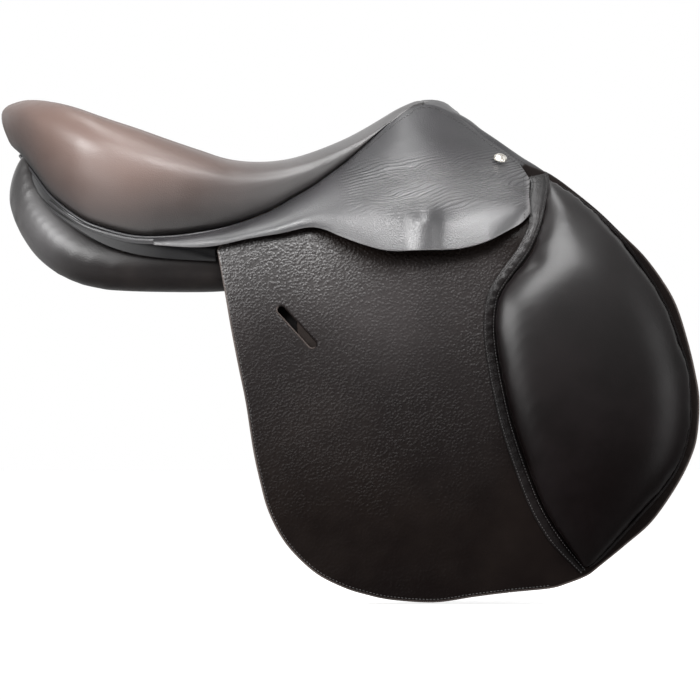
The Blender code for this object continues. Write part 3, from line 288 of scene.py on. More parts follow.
def rangeNode(tree, value, low, high, toLow=0.0, toHigh=1.0):
    inputs = {"Value": value, "From Min": low, "From Max": high, "To Min": toLow, "To Max": toHigh}
    return addNode(tree, "ShaderNodeMapRange", inputs, clamp=True, interpolation_type="SMOOTHSTEP").outputs[0]


def stretched(tree, vector, scale, turn=(0.0, 0.0, 0.0)):
    return addNode(tree, "ShaderNodeMapping", {"Vector": vector, "Scale": scale, "Rotation": turn}).outputs[0]


def shifted(tree, vector, noise, reach):
    inputs = {0: noise, 1: reach, 2: vector}
    return addNode(tree, "ShaderNodeVectorMath", inputs, operation="MULTIPLY_ADD").outputs[0]


def mixColor(tree, factor, a, b):
    return addNode(tree, "ShaderNodeMix", {0: factor, 6: a, 7: b}, data_type="RGBA").outputs[2]


def waveNode(tree, vector, direction, scale, distortion, **more):
    inputs = {"Vector": vector, "Scale": scale, "Distortion": distortion, **more}
    return addNode(tree, "ShaderNodeTexWave", inputs, bands_direction=direction).outputs["Fac"]


def bumped(tree, shader, height, distance):
    bump = addNode(tree, "ShaderNodeBump", {"Height": height, "Distance": distance, "Strength": 1.0})
    setSockets(tree, shader, {"Normal": bump.outputs[0]})
    return bump.outputs[0]


# hides: each piece says by attributes where its hide is warm, rubbed, creased, light or dark at its edge, or
# polished; on some pieces the rubbed and edge colours are painted light and painted shade, as said where each
# piece sets them
hideSet = {"patch": 14.0, "grainPatch": 11.0, "grainLow": 0.35, "fine": 0.04, "fineScale": 1900.0,
           "bend": 0.0018, "bendScale": 240.0, "smear": 0.05, "smearScale": 34.0, "specular": 0.45}


def pebbles(tree, place, look):
    bent = shifted(tree, place, noiseNode(tree, place, look["bendScale"], 2.0), (look["bend"],) * 3)
    inputs = {"Vector": bent, "Scale": 1.0 / look["cell"], "Smoothness": 0.35, "Randomness": 0.9}
    cells = addNode(tree, "ShaderNodeTexVoronoi", inputs, feature="SMOOTH_F1")
    pebble = rangeNode(tree, cells.outputs["Distance"], 0.1, 0.72, 1.0, 0.0)  # rounded, with creases between
    patches = noiseNode(tree, place, look["grainPatch"], 2.0)
    strong = rangeNode(tree, patches, 0.38, 0.62, look["grainLow"], 1.0)
    if "grainMap" in look:
        strong = mathNode(tree, "MULTIPLY", strong, attributeOf(tree, "grain"))
    height = mathNode(tree, "MULTIPLY", mathNode(tree, "MULTIPLY", pebble, strong), look["grain"])
    fine = mathNode(tree, "MULTIPLY", noiseNode(tree, place, look["fineScale"], 3.0), look["fine"])
    return mathNode(tree, "ADD", height, fine)


def creases(tree, place, look):
    slow = noiseNode(tree, stretched(tree, place, (20.0, 20.0, 60.0)), 1.0, 1.0)
    along = stretched(tree, shifted(tree, place, slow, (0.0, 0.0, 0.012)), (1.0, 1.0, 1.0), (0.0, 0.24, 0.0))
    ribs = waveNode(tree, along, "Z", 0.314 / look["rib"], 1.6, **{"Detail": 2.0, "Detail Scale": 0.6})
    amount = mathNode(tree, "MULTIPLY", attributeOf(tree, "creased"), look["creases"])
    return mathNode(tree, "MULTIPLY", rangeNode(tree, ribs, 0.05, 0.8), amount)


def hide(name, look):
    look = {**hideSet, "edge": look["light"], **look}
    material, tree, shader = newMaterial(name)
    place = placeOn(tree)
    patches = noiseNode(tree, place, look["patch"], 4.0, 0.6)
    color = mixColor(tree, rangeNode(tree, patches, 0.35, 0.68), look["dark"], look["light"])
    if "warm" in look:
        color = mixColor(tree, attributeOf(tree, "warm"), color, look["warm"])
    # rubbed colour: wear in a palm's place on the flap, and painted light on the flap (lighter high up) and
    # on the panel (a painted highlight on its rear end)
    if "wearAndPaintedLight" in look:
        uneven = rangeNode(tree, patches, 0.3, 0.7, 0.7, 1.0)
        wearAndPaintedLight = mathNode(tree, "MULTIPLY", attributeOf(tree, "wearAndPaintedLight"), uneven)
        color = mixColor(tree, wearAndPaintedLight, color, look["wearAndPaintedLight"])
    # edge colour: worn edges, and a painted shade along the seat's welt and low on its side, and a painted
    # highlight along the lower side of the slot's rim
    edgePatchiness = rangeNode(tree, patches, 0.3, 0.6, 0.45, 1.0)
    color = mixColor(tree, mathNode(tree, "MULTIPLY", attributeOf(tree, "edge"), edgePatchiness), color, look["edge"])
    height = pebbles(tree, place, look)
    if "creases" in look:
        height = mathNode(tree, "ADD", height, creases(tree, place, look))
    bump = bumped(tree, shader, height, look["depth"])
    smears = noiseNode(tree, stretched(tree, place, (1.0, 1.0, 1.6)), look["smearScale"], 4.0, 0.62)
    rough = rangeNode(tree, smears, 0.3, 0.7, look["rough"] - look["smear"], look["rough"] + look["smear"])
    setSockets(tree, shader, {"Base Color": color, "Roughness": rough,
                              "Specular IOR Level": look["specular"]})
    if "polish" in look:  # rubbed to a shine where the attribute says so
        shine = mathNode(tree, "MULTIPLY", attributeOf(tree, "polish"), look["polish"])
        setSockets(tree, shader, {"Coat Weight": shine, "Coat Roughness": look["rough"], "Coat Normal": bump})
    return material


# metal, wood and cloth
def metal(name, look):
    material, tree, shader = newMaterial(name)
    marks = noiseNode(tree, stretched(tree, placeOn(tree), look["brush"]), 1.0, 4.0)
    color = mixColor(tree, rangeNode(tree, marks, 0.35, 0.65), look["dark"], look["light"])
    rough = rangeNode(tree, marks, 0.3, 0.7, look["rough"] - 0.05, look["rough"] + 0.06)
    setSockets(tree, shader, {"Base Color": color, "Roughness": rough, "Metallic": 1.0})
    bumped(tree, shader, marks, 0.00006)
    return material


def plyWood(name):
    material, tree, shader = newMaterial(name)
    place = placeOn(tree)
    plies = rangeNode(tree, waveNode(tree, place, "Z", 110.0, 1.2), 0.7, 0.95)
    grain = noiseNode(tree, stretched(tree, place, (18.0, 300.0, 300.0)), 1.0, 5.0)
    color = mixColor(tree, rangeNode(tree, grain, 0.35, 0.7), (0.48, 0.32, 0.18), (0.34, 0.21, 0.11))
    color = mixColor(tree, plies, color, (0.2, 0.12, 0.07))
    setSockets(tree, shader, {"Base Color": color, "Roughness": 0.6})
    bumped(tree, shader, grain, 0.0002)
    return material


def woven(name, light, dark):
    material, tree, shader = newMaterial(name)
    place = placeOn(tree)
    both = mathNode(tree, "MULTIPLY", *(waveNode(tree, place, direction, 210.0, 0.4) for direction in "XY"))
    setSockets(tree, shader, {"Base Color": mixColor(tree, both, dark, light), "Roughness": 0.9})
    bumped(tree, shader, both, 0.0005)
    return material


# leather colours; the seat's edge colour is painted shade, and its warm brown fades near the welt as painted
# shade; the panel's rubbed colour is a painted highlight; the flap's rubbed colour is partly painted light
# from above and partly wear; the flap's edge colour is also a painted highlight on the slot's rim
leatherLooks = {
    "seat": {"dark": (0.010, 0.0085, 0.0088), "light": (0.016, 0.0125, 0.012), "warm": (0.086, 0.053, 0.043),
             "patch": 9.0, "cell": 0.0011, "grain": 0.16, "rough": 0.44, "specular": 0.46, "polish": 0.7,
             "depth": 0.0003, "edge": (0.0025, 0.002, 0.002)},
    "skirt": {"dark": (0.007, 0.0068, 0.0078), "light": (0.013, 0.012, 0.0135), "cell": 0.0012, "grain": 0.22,
              "rough": 0.4, "specular": 0.47, "polish": 0.9, "creases": 2.2, "rib": 0.0028, "depth": 0.0005,
              "edge": (0.06, 0.057, 0.058)},
    "flap": {"dark": (0.0022, 0.0014, 0.0013), "light": (0.0052, 0.0037, 0.0032), "patch": 7.0,
             "cell": 0.0026, "grain": 1.3, "grainLow": 0.5, "grainMap": True, "rough": 0.33,
             "specular": 0.025, "polish": 0.7, "depth": 0.0004, "wearAndPaintedLight": (0.022, 0.0195, 0.0195),
             "edge": (0.07, 0.058, 0.053)},
    "pad": {"dark": (0.0018, 0.0012, 0.0012), "light": (0.0036, 0.0026, 0.0027), "cell": 0.001, "grain": 0.10,
            "rough": 0.35, "specular": 0.02, "polish": 0.64, "smear": 0.02, "depth": 0.0003,
            "edge": (0.012, 0.009, 0.008)},
    "band": {"dark": (0.002, 0.0016, 0.0016), "light": (0.005, 0.004, 0.004), "cell": 0.0012, "grain": 0.4,
             "rough": 0.36, "specular": 0.04, "polish": 0.5, "depth": 0.0004, "edge": (0.01, 0.008, 0.008)},
    "gloss": {"dark": (0.0015, 0.0014, 0.0018), "light": (0.003, 0.0028, 0.0034), "cell": 0.0012,
              "grain": 0.08, "rough": 0.22, "specular": 0.16, "polish": 1.0, "depth": 0.0003,
              "edge": (0.012, 0.01, 0.01)},
    "panel": {"dark": (0.004, 0.003, 0.003), "light": (0.009, 0.007, 0.0065), "wearAndPaintedLight": (0.052, 0.05, 0.051),
              "cell": 0.0013, "grain": 0.2, "rough": 0.4, "specular": 0.06, "polish": 1.0, "depth": 0.0003,
              "edge": (0.02, 0.015, 0.013)},
    "strap": {"dark": (0.010, 0.006, 0.0045), "light": (0.019, 0.0105, 0.007), "cell": 0.0012, "grain": 0.3,
              "rough": 0.6, "specular": 0.1, "depth": 0.0003, "edge": (0.04, 0.024, 0.016)},
}
finishes = {name: hide(name + "Hide", look) for name, look in leatherLooks.items()}
finishes["thread"] = hide("blackThread", {"dark": (0.012, 0.011, 0.011), "light": (0.028, 0.025, 0.024),
                                          "cell": 0.0006, "grain": 0.5, "rough": 0.5, "depth": 0.0002})
finishes["steel"] = metal("brushedSteel", {"dark": (0.42, 0.42, 0.43), "light": (0.6, 0.6, 0.61),
                                           "rough": 0.3, "brush": (60.0, 600.0, 600.0)})
finishes["blued"] = metal("bluedSteel", {"dark": (0.12, 0.13, 0.16), "light": (0.22, 0.23, 0.27),
                                         "rough": 0.38, "brush": (40.0, 300.0, 300.0)})
finishes["silver"] = metal("nailSilver", {"dark": (0.34, 0.31, 0.27), "light": (0.8, 0.78, 0.73),
                                          "rough": 0.2, "brush": (420.0, 420.0, 420.0)})
finishes["beech"] = plyWood("laminatedBeech")
finishes["linen"] = woven("linenWeb", (0.5, 0.43, 0.31), (0.24, 0.2, 0.14))
finishes["foam"] = woven("foamCloth", (0.5, 0.45, 0.33), (0.4, 0.35, 0.25))
print("materials made")

# Geometry Nodes: a row of stitches along a path
stitchSet = {"Pitch": 0.003, "Length": 0.0022, "Thread": 0.0007, "Seed": 3}


def stitchTree(name, material):
    tree = bpy.data.node_groups.new(name, "GeometryNodeTree")
    face = tree.interface
    face.new_socket("Geometry", in_out="INPUT", socket_type="NodeSocketGeometry")
    for label, value in stitchSet.items():
        kind = "NodeSocketInt" if label == "Seed" else "NodeSocketFloat"
        face.new_socket(label, in_out="INPUT", socket_type=kind).default_value = value
    face.new_socket("Geometry", in_out="OUTPUT", socket_type="NodeSocketGeometry")
    given = addNode(tree, "NodeGroupInput", {}).outputs
    curve = addNode(tree, "GeometryNodeMeshToCurve", {0: given["Geometry"]})
    points = addNode(tree, "GeometryNodeCurveToPoints", {0: curve.outputs[0], "Length": given["Pitch"]},
                     mode="LENGTH").outputs
    turn = addNode(tree, "FunctionNodeAlignRotationToVector", {"Vector": points["Tangent"]}, axis="X")
    bead = addNode(tree, "GeometryNodeMeshUVSphere", {"Segments": 6, "Rings": 4, "Radius": 0.5})
    wobble = addNode(tree, "FunctionNodeRandomValue", {2: 0.88, 3: 1.1, "Seed": given["Seed"]},
                     data_type="FLOAT")
    longer = mathNode(tree, "MULTIPLY", given["Length"], wobble.outputs[1])
    size = addNode(tree, "ShaderNodeCombineXYZ", {"X": longer, "Y": given["Thread"], "Z": given["Thread"]})
    row = addNode(tree, "GeometryNodeInstanceOnPoints", {
        "Points": points["Points"], "Instance": bead.outputs["Mesh"], "Rotation": turn.outputs[0],
        "Scale": size.outputs[0]})
    real = addNode(tree, "GeometryNodeRealizeInstances", {0: row.outputs[0]})
    painted = addNode(tree, "GeometryNodeSetMaterial", {"Geometry": real.outputs[0], "Material": material})
    addNode(tree, "NodeGroupOutput", {0: painted.outputs[0]})
    return tree


stitches = stitchTree("stitches", finishes["thread"])


def stitched(name, paths, pitch, length, thread):
    mesh = bpy.data.meshes.new(name)
    points, edges = [], []
    for path in paths:
        start = len(points)
        points += [tuple(p) for p in path]
        edges += [(start + k, start + k + 1) for k in range(len(path) - 1)]
    mesh.from_pydata(points, edges, [])
    made = bpy.data.objects.new(name, mesh)
    scene.collection.objects.link(made)
    modifier = modify(made, "NODES", node_group=stitches)
    wanted = {**stitchSet, "Pitch": pitch, "Length": length, "Thread": thread}
    for item in stitches.interface.items_tree:
        if item.item_type == "SOCKET" and item.in_out == "INPUT" and item.name in wanted:
            modifier[item.identifier] = wanted[item.name]
    return applyModifiers(made)


# sheets that hang on the sides, with rounded edges
def gridded(outline, step):
    bm = bmesh.new()
    bm.faces.new([bm.verts.new((p[0], 0.0, p[1])) for p in outline])
    for column, across in enumerate((Vector((1, 0, 0)), Vector((0, 0, 1)))):
        reach = [p[column] for p in outline]
        for at in np.arange(min(reach) + step / 2, max(reach), step):
            bmesh.ops.bisect_plane(bm, geom=bm.verts[:] + bm.edges[:] + bm.faces[:], dist=1e-6,
                                   plane_co=across * at, plane_no=across)
    bmesh.ops.remove_doubles(bm, verts=bm.verts[:], dist=0.00025)
    return bm


def boundaryOf(bm):
    first = next(e for e in bm.edges if e.is_boundary).verts[0]
    ordered, here, before = [first], first, None
    while True:
        ahead = [e for e in here.link_edges if e.is_boundary and e is not before]
        before = ahead[0]
        here = before.other_vert(here)
        if here is first:
            return ordered
        ordered.append(here)


def doubled(bm):  # a second layer of the same faces, looking the other way
    inner = {v: bm.verts.new(v.co) for v in bm.verts[:]}
    for face in bm.faces[:]:
        bm.faces.new([inner[v] for v in reversed(face.verts)])
    return inner


def sideSheet(name, outline, side, thick, step, material):
    radius = thick * 0.46
    bm = gridded(inward(outline, radius), step)
    ring = boundaryOf(bm)
    flat = [Vector((v.co.x, v.co.z)) for v in ring]
    inner = doubled(bm)
    for upper, lower in inner.items():
        lower.co.y = side * hangAt(lower.co.x, lower.co.z)
        upper.co.y = side * (hangAt(upper.co.x, upper.co.z) + thick)
    corner = [math.radians(35), math.radians(70)]
    profile = [(math.sin(a), thick - radius * (1 - math.cos(a))) for a in corner]
    profile += [(1.0, thick - radius), (1.0, radius)]
    profile += [(math.sin(a), radius * (1 - math.cos(a))) for a in corner[::-1]]
    turn = turnOf(flat)
    rows = []
    for out, height in profile:
        row = []
        for k, p in enumerate(flat):
            along = headingAt(flat, k, closed=True).normalized()
            q = p - Vector((-along.y, along.x)) * turn * radius * out
            row.append(bm.verts.new((q.x, side * (hangAt(q.x, q.y) + height), q.y)))
        rows.append(row)
    bridge(bm, [ring, *rows, [inner[v] for v in ring]], around=True)
    bm.verts.index_update()
    rounded = {v.index for row in rows for v in row}
    made = newPiece(name, bm, material)
    setAttribute(made, "edge", [1.0 if k in rounded else 0.0 for k in range(len(made.data.vertices))])
    return made


def tube(name, path, radius, material, closed=False, up=Vector((0, 1, 0)), taper=0):
    bm = bmesh.new()
    rings = []
    around = 10
    for i, p in enumerate(path):
        along = headingAt(path, i, closed=closed).normalized()
        across = along.cross(up).normalized()
        top = across.cross(along).normalized()
        wide = radius * min(1.0, (min(i, len(path) - 1 - i) + 0.6) / taper) if taper else radius
        rings.append([bm.verts.new(p + across * (wide * math.cos(a)) + top * (wide * math.sin(a)))
                      for a in (2 * math.pi * k / around for k in range(around))])
    bridge(bm, rings + rings[:1] if closed else rings, around=True)
    if not closed:
        bm.faces.new(rings[0])
        bm.faces.new(rings[-1])
    return newPiece(name, bm, material)


# folds: where the flaps and the skirts turn up, and how deep the bend is above and below that line
folds = {
    "flap": {"body": "flap_", "from": (-0.072, -0.009), "to": (0.270, 0.063), "above": 0.003, "below": 0.026},
    "skirt": {"body": "skirt_lobe_", "from": (0.008, 0.058), "to": (0.207, 0.083), "above": 0.002,
              "below": 0.018},
}


def acrossFold(piece):
    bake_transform(piece)


def aboveFold(fold, x, z):
    (x0, z0), (x1, z1) = folds[fold]["from"], folds[fold]["to"]
    up = Vector((-(z1 - z0), x1 - x0)).normalized()
    return (x - x0) * up.x + (z - z0) * up.y


# cushions swell in a short cloth simulation, which may move a point by no more than its cap
clothSet = {"frames": 20, "quality": 5, "mass": 0.3, "stiffness": 25, "bending": 2.0, "pressure": 4.0,
            "relax": 12}


def swell(piece, cap, s):
    cloth = modify(piece, "CLOTH")
    cloth.settings.quality = s["quality"]
    cloth.settings.mass = s["mass"]
    cloth.settings.tension_stiffness = s["stiffness"]
    cloth.settings.compression_stiffness = s["stiffness"]
    cloth.settings.bending_stiffness = s["bending"]
    cloth.settings.use_pressure = True
    cloth.settings.uniform_pressure_force = s["pressure"]
    cloth.settings.effector_weights.gravity = 0.0
    cloth.collision_settings.use_collision = False
    cloth.point_cache.frame_start = 1
    cloth.point_cache.frame_end = s["frames"]
    for f in range(1, s["frames"] + 1):
        scene.frame_set(f)
    depsgraph = bpy.context.evaluated_depsgraph_get()
    after = np.array([v.co for v in piece.evaluated_get(depsgraph).data.vertices], np.float32)
    piece.modifiers.clear()
    before = pointsOf(piece).astype(np.float32)
    move = after - before
    far = np.linalg.norm(move, axis=1, keepdims=True)
    movePoints(piece, before + move * np.minimum(1.0, cap / np.maximum(far, 1e-9)))
    scene.frame_set(1)


def cushion(piece, voxel, cap):
    modify(piece, "REMESH", mode="VOXEL", voxel_size=voxel, use_smooth_shade=True)
    applyModifiers(piece)
    swell(piece, cap, clothSet)
    modify(piece, "SMOOTH", factor=0.5, iterations=clothSet["relax"])
    modify(piece, "SUBSURF", levels=1, render_levels=1)
    return applyModifiers(piece)


# seat: its top line, its edge over the welt, how far it tucks out over the edge, how deep it is dished
seatTables = {
    "top": ((-269, 159), (-260, 170.5), (-242, 171.4), (-226, 169.6), (-206, 164.7), (-180, 155.4),
            (-149, 145.1), (-120, 134.8), (-89, 124.4), (-69, 117.9), (-49.5, 114.9), (-29, 114.8),
            (-9, 117.6), (11, 123.4), (31.5, 131.4), (45, 137.5), (65, 148.5), (85, 161), (98, 167.6),
            (108, 170.8), (118, 168.4), (130, 165)),
    "edge": ((-254, 0, 123), (-248, 35, 117), (-239, 62, 105), (-224, 90, 86), (-200, 113, 67.5),
             (-180, 122, 58.5), (-150, 127, 51), (-120, 126, 50.4), (-89, 121, 54), (-59, 112, 60.3),
             (-29, 102, 71.3), (-9, 95, 82.4), (11, 88, 94), (31.5, 79, 108.6), (45, 73, 119),
             (65, 64, 136.8), (85, 55, 155), (96, 48, 163.4), (105, 39, 167.4), (114, 26, 168),
             (121, 0, 167.4)),
    "tuck": ((-254, 17), (-224, 9), (-150, 7), (-60, 5), (30, 2), (95, 0.6), (124, 0.6)),
    "dish": ((-260, 13), (-200, 11), (-150, 8), (-100, 4), (-30, 0.5), (60, 0.2), (124, 0)),
}
seatSet = {"stations": 150, "across": 30, "inset": 0.027, "rearInset": 0.010, "frontInset": 0.006,
           "leather": 0.0025, "rearFrom": -0.150, "rearOver": 0.100, "frontFrom": 0.080, "rearGather": 0.62,
           "frontGather": 0.6, "backTop": -0.246}
topRows = smoothTable(seatTables["top"], 260)


def topAt(x):
    return float(np.interp(x, topRows[:, 0], topRows[:, 1]))


def seatRings(s):
    stations = evenCurve(inMetres(seatTables["edge"]), s["stations"])
    stations[0].y = stations[-1].y = 0.0
    last = len(stations) - 1
    rings = []
    for i, w in enumerate(stations):
        along = headingAt(stations, i, reach=2)
        if i in (0, last):
            along = Vector((0.0, -1.0 if i else 1.0, 0.0))
        out = Vector((-along.y, along.x, 0.0)).normalized()
        rear = ramp(w.x, s["rearFrom"], -s["rearOver"])
        inset = s["inset"] + (s["rearInset"] - s["inset"]) * rear
        inset = min(inset, max(w.y * 0.45, s["frontInset"] if w.x > 0 else s["rearInset"]))
        rim = w - out * inset
        top = topAt(max(rim.x, s["backTop"]))
        rise = top - w.z
        tuck = readTable(seatTables["tuck"], w.x)
        low = w + Vector((0, 0, (0.15 + 0.04 * rear) * rise)) + out * tuck * (0.75 - 0.2 * rear)
        bulge = w + Vector((0, 0, (0.42 + 0.18 * rear) * rise)) + out * tuck
        shoulder = w + Vector((0, 0, (0.8 + 0.06 * rear) * rise))
        shoulder += out * (tuck * (0.75 + 0.14 * rear) - inset * 0.12)
        rim.z = top
        cx = w.x
        if w.x < s["rearFrom"]:
            cx = s["rearFrom"] + (w.x - s["rearFrom"]) * s["rearGather"]
        elif w.x > s["frontFrom"]:
            cx = s["frontFrom"] + (w.x - s["frontFrom"]) * s["frontGather"]
        centre = Vector((cx, 0.0, topAt(cx) - readTable(seatTables["dish"], cx)))
        middle = (rim + centre) / 2
        middle.z = centre.z + (rim.z - centre.z) * 0.35
        rings.append(evenCurve([w, low, bulge, shoulder, rim, middle, centre], s["across"]))
    return rings


seatRing = seatRings(seatSet)
seatEdge = [ring[0] for ring in seatRing]


def makeSeat(rings):
    bm = bmesh.new()
    for side in (1.0, -1.0):
        bridge(bm, [[bm.verts.new((p.x, p.y * side, p.z)) for p in ring] for ring in rings])
    bmesh.ops.remove_doubles(bm, verts=bm.verts[:], dist=0.0001)
    turnOutward(bm, 2)
    seat = newPiece("seatLeather", bm, finishes["seat"], recalc=False)
    modify(seat, "LAPLACIANSMOOTH", iterations=3, lambda_factor=0.4, lambda_border=0.0)
    modify(seat, "SOLIDIFY", thickness=seatSet["leather"], offset=-1.0)
    applyModifiers(seat)
    x, z = placesOf(seat)
    edgeRows = np.array([tuple(p) for p in seatEdge if p.x < 0.12])
    above = z - np.interp(x, edgeRows[:, 0], edgeRows[:, 2])
    # brown towards the cantle and away from the edge, polished in front; painted shade: the brown fades near
    # the welt, and the hide is black along the welt and darker low down on the side
    warm = ramp(x, 0.03, -0.19) ** 0.9 * (0.12 + 0.88 * ramp(above, 0.004, 0.05))
    setAttribute(seat, "warm", warm * 0.8)
    setAttribute(seat, "polish", ramp(x, -0.09, 0.08))
    line = np.clip(1.25 - above / 0.006, 0, 1)
    low = 0.85 * np.clip(1.1 - above / 0.055, 0, 1) * ramp(x, -0.2, 0.07)
    setAttribute(seat, "edge", np.maximum(line, low) * ramp(x, 0.06, -0.1))
    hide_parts("seat_cover")
    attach(seat, "tree")


makeSeat(seatRing)
print("seat made")

# welt under the seat
weltSet = {"radius": 0.0016, "drop": 0.0023}
loop = [Vector((p.x, p.y, p.z)) for p in seatEdge] + [Vector((p.x, -p.y, p.z)) for p in seatEdge[-2:0:-1]]
loop = [p - Vector((0, 0, weltSet["drop"])) for p in loop]
welt = tube("seatWelt", loop, weltSet["radius"], finishes["skirt"], closed=True, up=Vector((0, 0, 1)))
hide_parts("seat_welt")
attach(welt, "tree")

# tongue of the skirt, which runs out to the rear below the welt
tongueSet = {"from": -0.226, "to": -0.121, "wide": (0.0012, 0.0026), "thick": 0.0013, "drop": 0.0062,
             "out": 0.0016, "around": 14, "worn": 0.15}


def makeTongue(sideName, side, s):
    line = [p for p in seatEdge if s["from"] < p.x < s["to"]]
    bm = bmesh.new()
    rings, seam = [], []
    for i, p in enumerate(line):
        ahead = headingAt(line, i)
        out = towards(Vector((ahead.y, -ahead.x, 0)).normalized(), 1)
        share = i / (len(line) - 1)
        wide = s["wide"][0] + (s["wide"][1] - s["wide"][0]) * min(1.0, share * 1.6)
        centre = p + out * s["out"] - Vector((0, 0, s["drop"] - 0.0006 * share))
        ring = []
        for a in (2 * math.pi * k / s["around"] for k in range(s["around"])):
            q = centre + Vector((0, 0, wide * math.sin(a))) + out * (s["thick"] * math.cos(a))
            ring.append(bm.verts.new((q.x, q.y * side, q.z)))
        rings.append(ring)
        q = centre + out * (s["thick"] + threadLift)
        seam.append(Vector((q.x, q.y * side, q.z)))
    bridge(bm, rings, around=True)
    bm.faces.new(rings[0])
    bm.faces.new(rings[-1])
    tongue = newPiece("skirtTongue_" + sideName, bm, finishes["skirt"])
    setAttribute(tongue, "edge", [s["worn"]] * len(tongue.data.vertices))
    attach(tongue, "tree")
    threads = stitched("tongueStitches_" + sideName, [seam[4:]], pitch=0.0026, length=0.0019, thread=0.0006)
    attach(threads, "tree")


for sideName, side in sides.items():
    makeTongue(sideName, side, tongueSet)

# skirts: the seam under the welt, the hem, and how far the hem stands off the flap
skirtTables = {
    "seam": ((-132, 127.3, 43.9), (-120, 127, 45.0), (-105, 125, 46.3), (-89, 122.5, 49.2), (-59, 114, 56),
             (-29, 104, 67), (-9, 97.5, 78), (11, 90.5, 89.6), (31.5, 82, 104), (45, 76, 114.6),
             (65, 67, 132.4), (85, 58, 150.6), (96, 51.5, 159.4), (106, 46, 164), (119, 42.5, 165),
             (135, 41, 158.4), (150, 42, 148.4), (162, 47, 138.6), (174, 54, 129.6), (186, 62, 121.6),
             (196, 72, 113.5), (206, 90, 98)),
    "hem": ((-132, 41.2), (-99, 39.2), (-76, 40.5), (-47, 46.8), (-18, 51.7), (7, 57), (22, 55.3),
            (39, 48.2), (60, 40.5), (82, 35.6), (111, 36.6), (141, 37.2), (166, 43.2), (185, 53), (198, 61),
            (206, 70)),
    "stand": ((-132, 8), (-99, 6), (-60, 5), (0, 6), (60, 8), (110, 8), (160, 6.5), (190, 5), (206, 4)),
}
skirtSet = {"from": -0.132, "to": 0.206, "columns": 190, "rows": 60, "leather": 0.0028, "rim": 0.0011,
            "flare": 0.005, "flareFrom": 0.6, "soften": 70, "bar": 0.0105, "barAt": 0.112, "barWide": 0.0125,
            "dip": 0.4, "dipAt": 0.113, "dipWide": 0.03, "barTop": 0.087, "barFade": 0.022}
seamRows, hemRows, standRows = (smoothTable(skirtTables[k]) for k in ("seam", "hem", "stand"))


def skirtPoint(x, down, s):
    seamY, seamZ = (float(np.interp(x, seamRows[:, 0], seamRows[:, k])) for k in (1, 2))
    hemZ = float(np.interp(x, hemRows[:, 0], hemRows[:, 1]))
    flapThere = hangAt(max(x, hangSet["rearEnd"]), hemZ) + flapLeather
    if x < hangSet["rearEnd"]:
        flapThere = max(flapThere, seamY - 0.002)
    hemY = flapThere + float(np.interp(x, standRows[:, 0], standRows[:, 1]))
    y = seamY + (hemY - seamY) * (1 - (1 - down) ** 2.2)
    z = seamZ + (hemZ - seamZ) * down
    bar = math.exp(-((x - s["barAt"]) / s["barWide"]) ** 2)
    bar -= s["dip"] * math.exp(-((x - s["dipAt"]) / s["dipWide"]) ** 2)
    bar *= 1.0 - 0.5 * max(0.0, (down - 0.75) / 0.25)
    lifted = s["bar"] * bar * ramp(z, s["barTop"], -s["barFade"]) ** 1.5
    turned = max(0.0, (down - s["flareFrom"]) / (1 - s["flareFrom"])) ** 2
    lifted += s["flare"] * turned * (ramp(x, 0.03, 0.05) * ramp(x, 0.2, -0.03))
    return Vector((x, y + lifted, z))


def skirtGrid(s):
    xs = np.linspace(s["from"], s["to"], s["columns"])
    downs = [k / (s["rows"] - 1) for k in range(s["rows"])]
    points = np.array([[tuple(skirtPoint(float(x), down, s)) for down in downs] for x in xs])
    down = np.linspace(0, 1, s["rows"])[None, 1:-1, None]
    keep = np.clip((down - 0.55) / 0.25, 0, 1)  # the hem and the ridge stay as drawn
    for turn in range(s["soften"]):
        middle = (points[:-2, 1:-1] + points[2:, 1:-1] + points[1:-1, :-2] + points[1:-1, 2:]) / 4
        points[1:-1, 1:-1] += (middle - points[1:-1, 1:-1]) * 0.8 * (1 - keep)
    return points


skirtPoints = skirtGrid(skirtSet)


def onSkirt(i, k, side):
    i, k = min(max(i, 1), skirtSet["columns"] - 2), min(max(k, 1), skirtSet["rows"] - 2)
    ahead = Vector(skirtPoints[i + 1, k] - skirtPoints[i - 1, k])
    below = Vector(skirtPoints[i, k + 1] - skirtPoints[i, k - 1])
    out = towards(ahead.cross(below).normalized(), 1)
    here = Vector(skirtPoints[i, k]) + out * (skirtSet["leather"] + threadLift)
    return Vector((here.x, here.y * side, here.z))


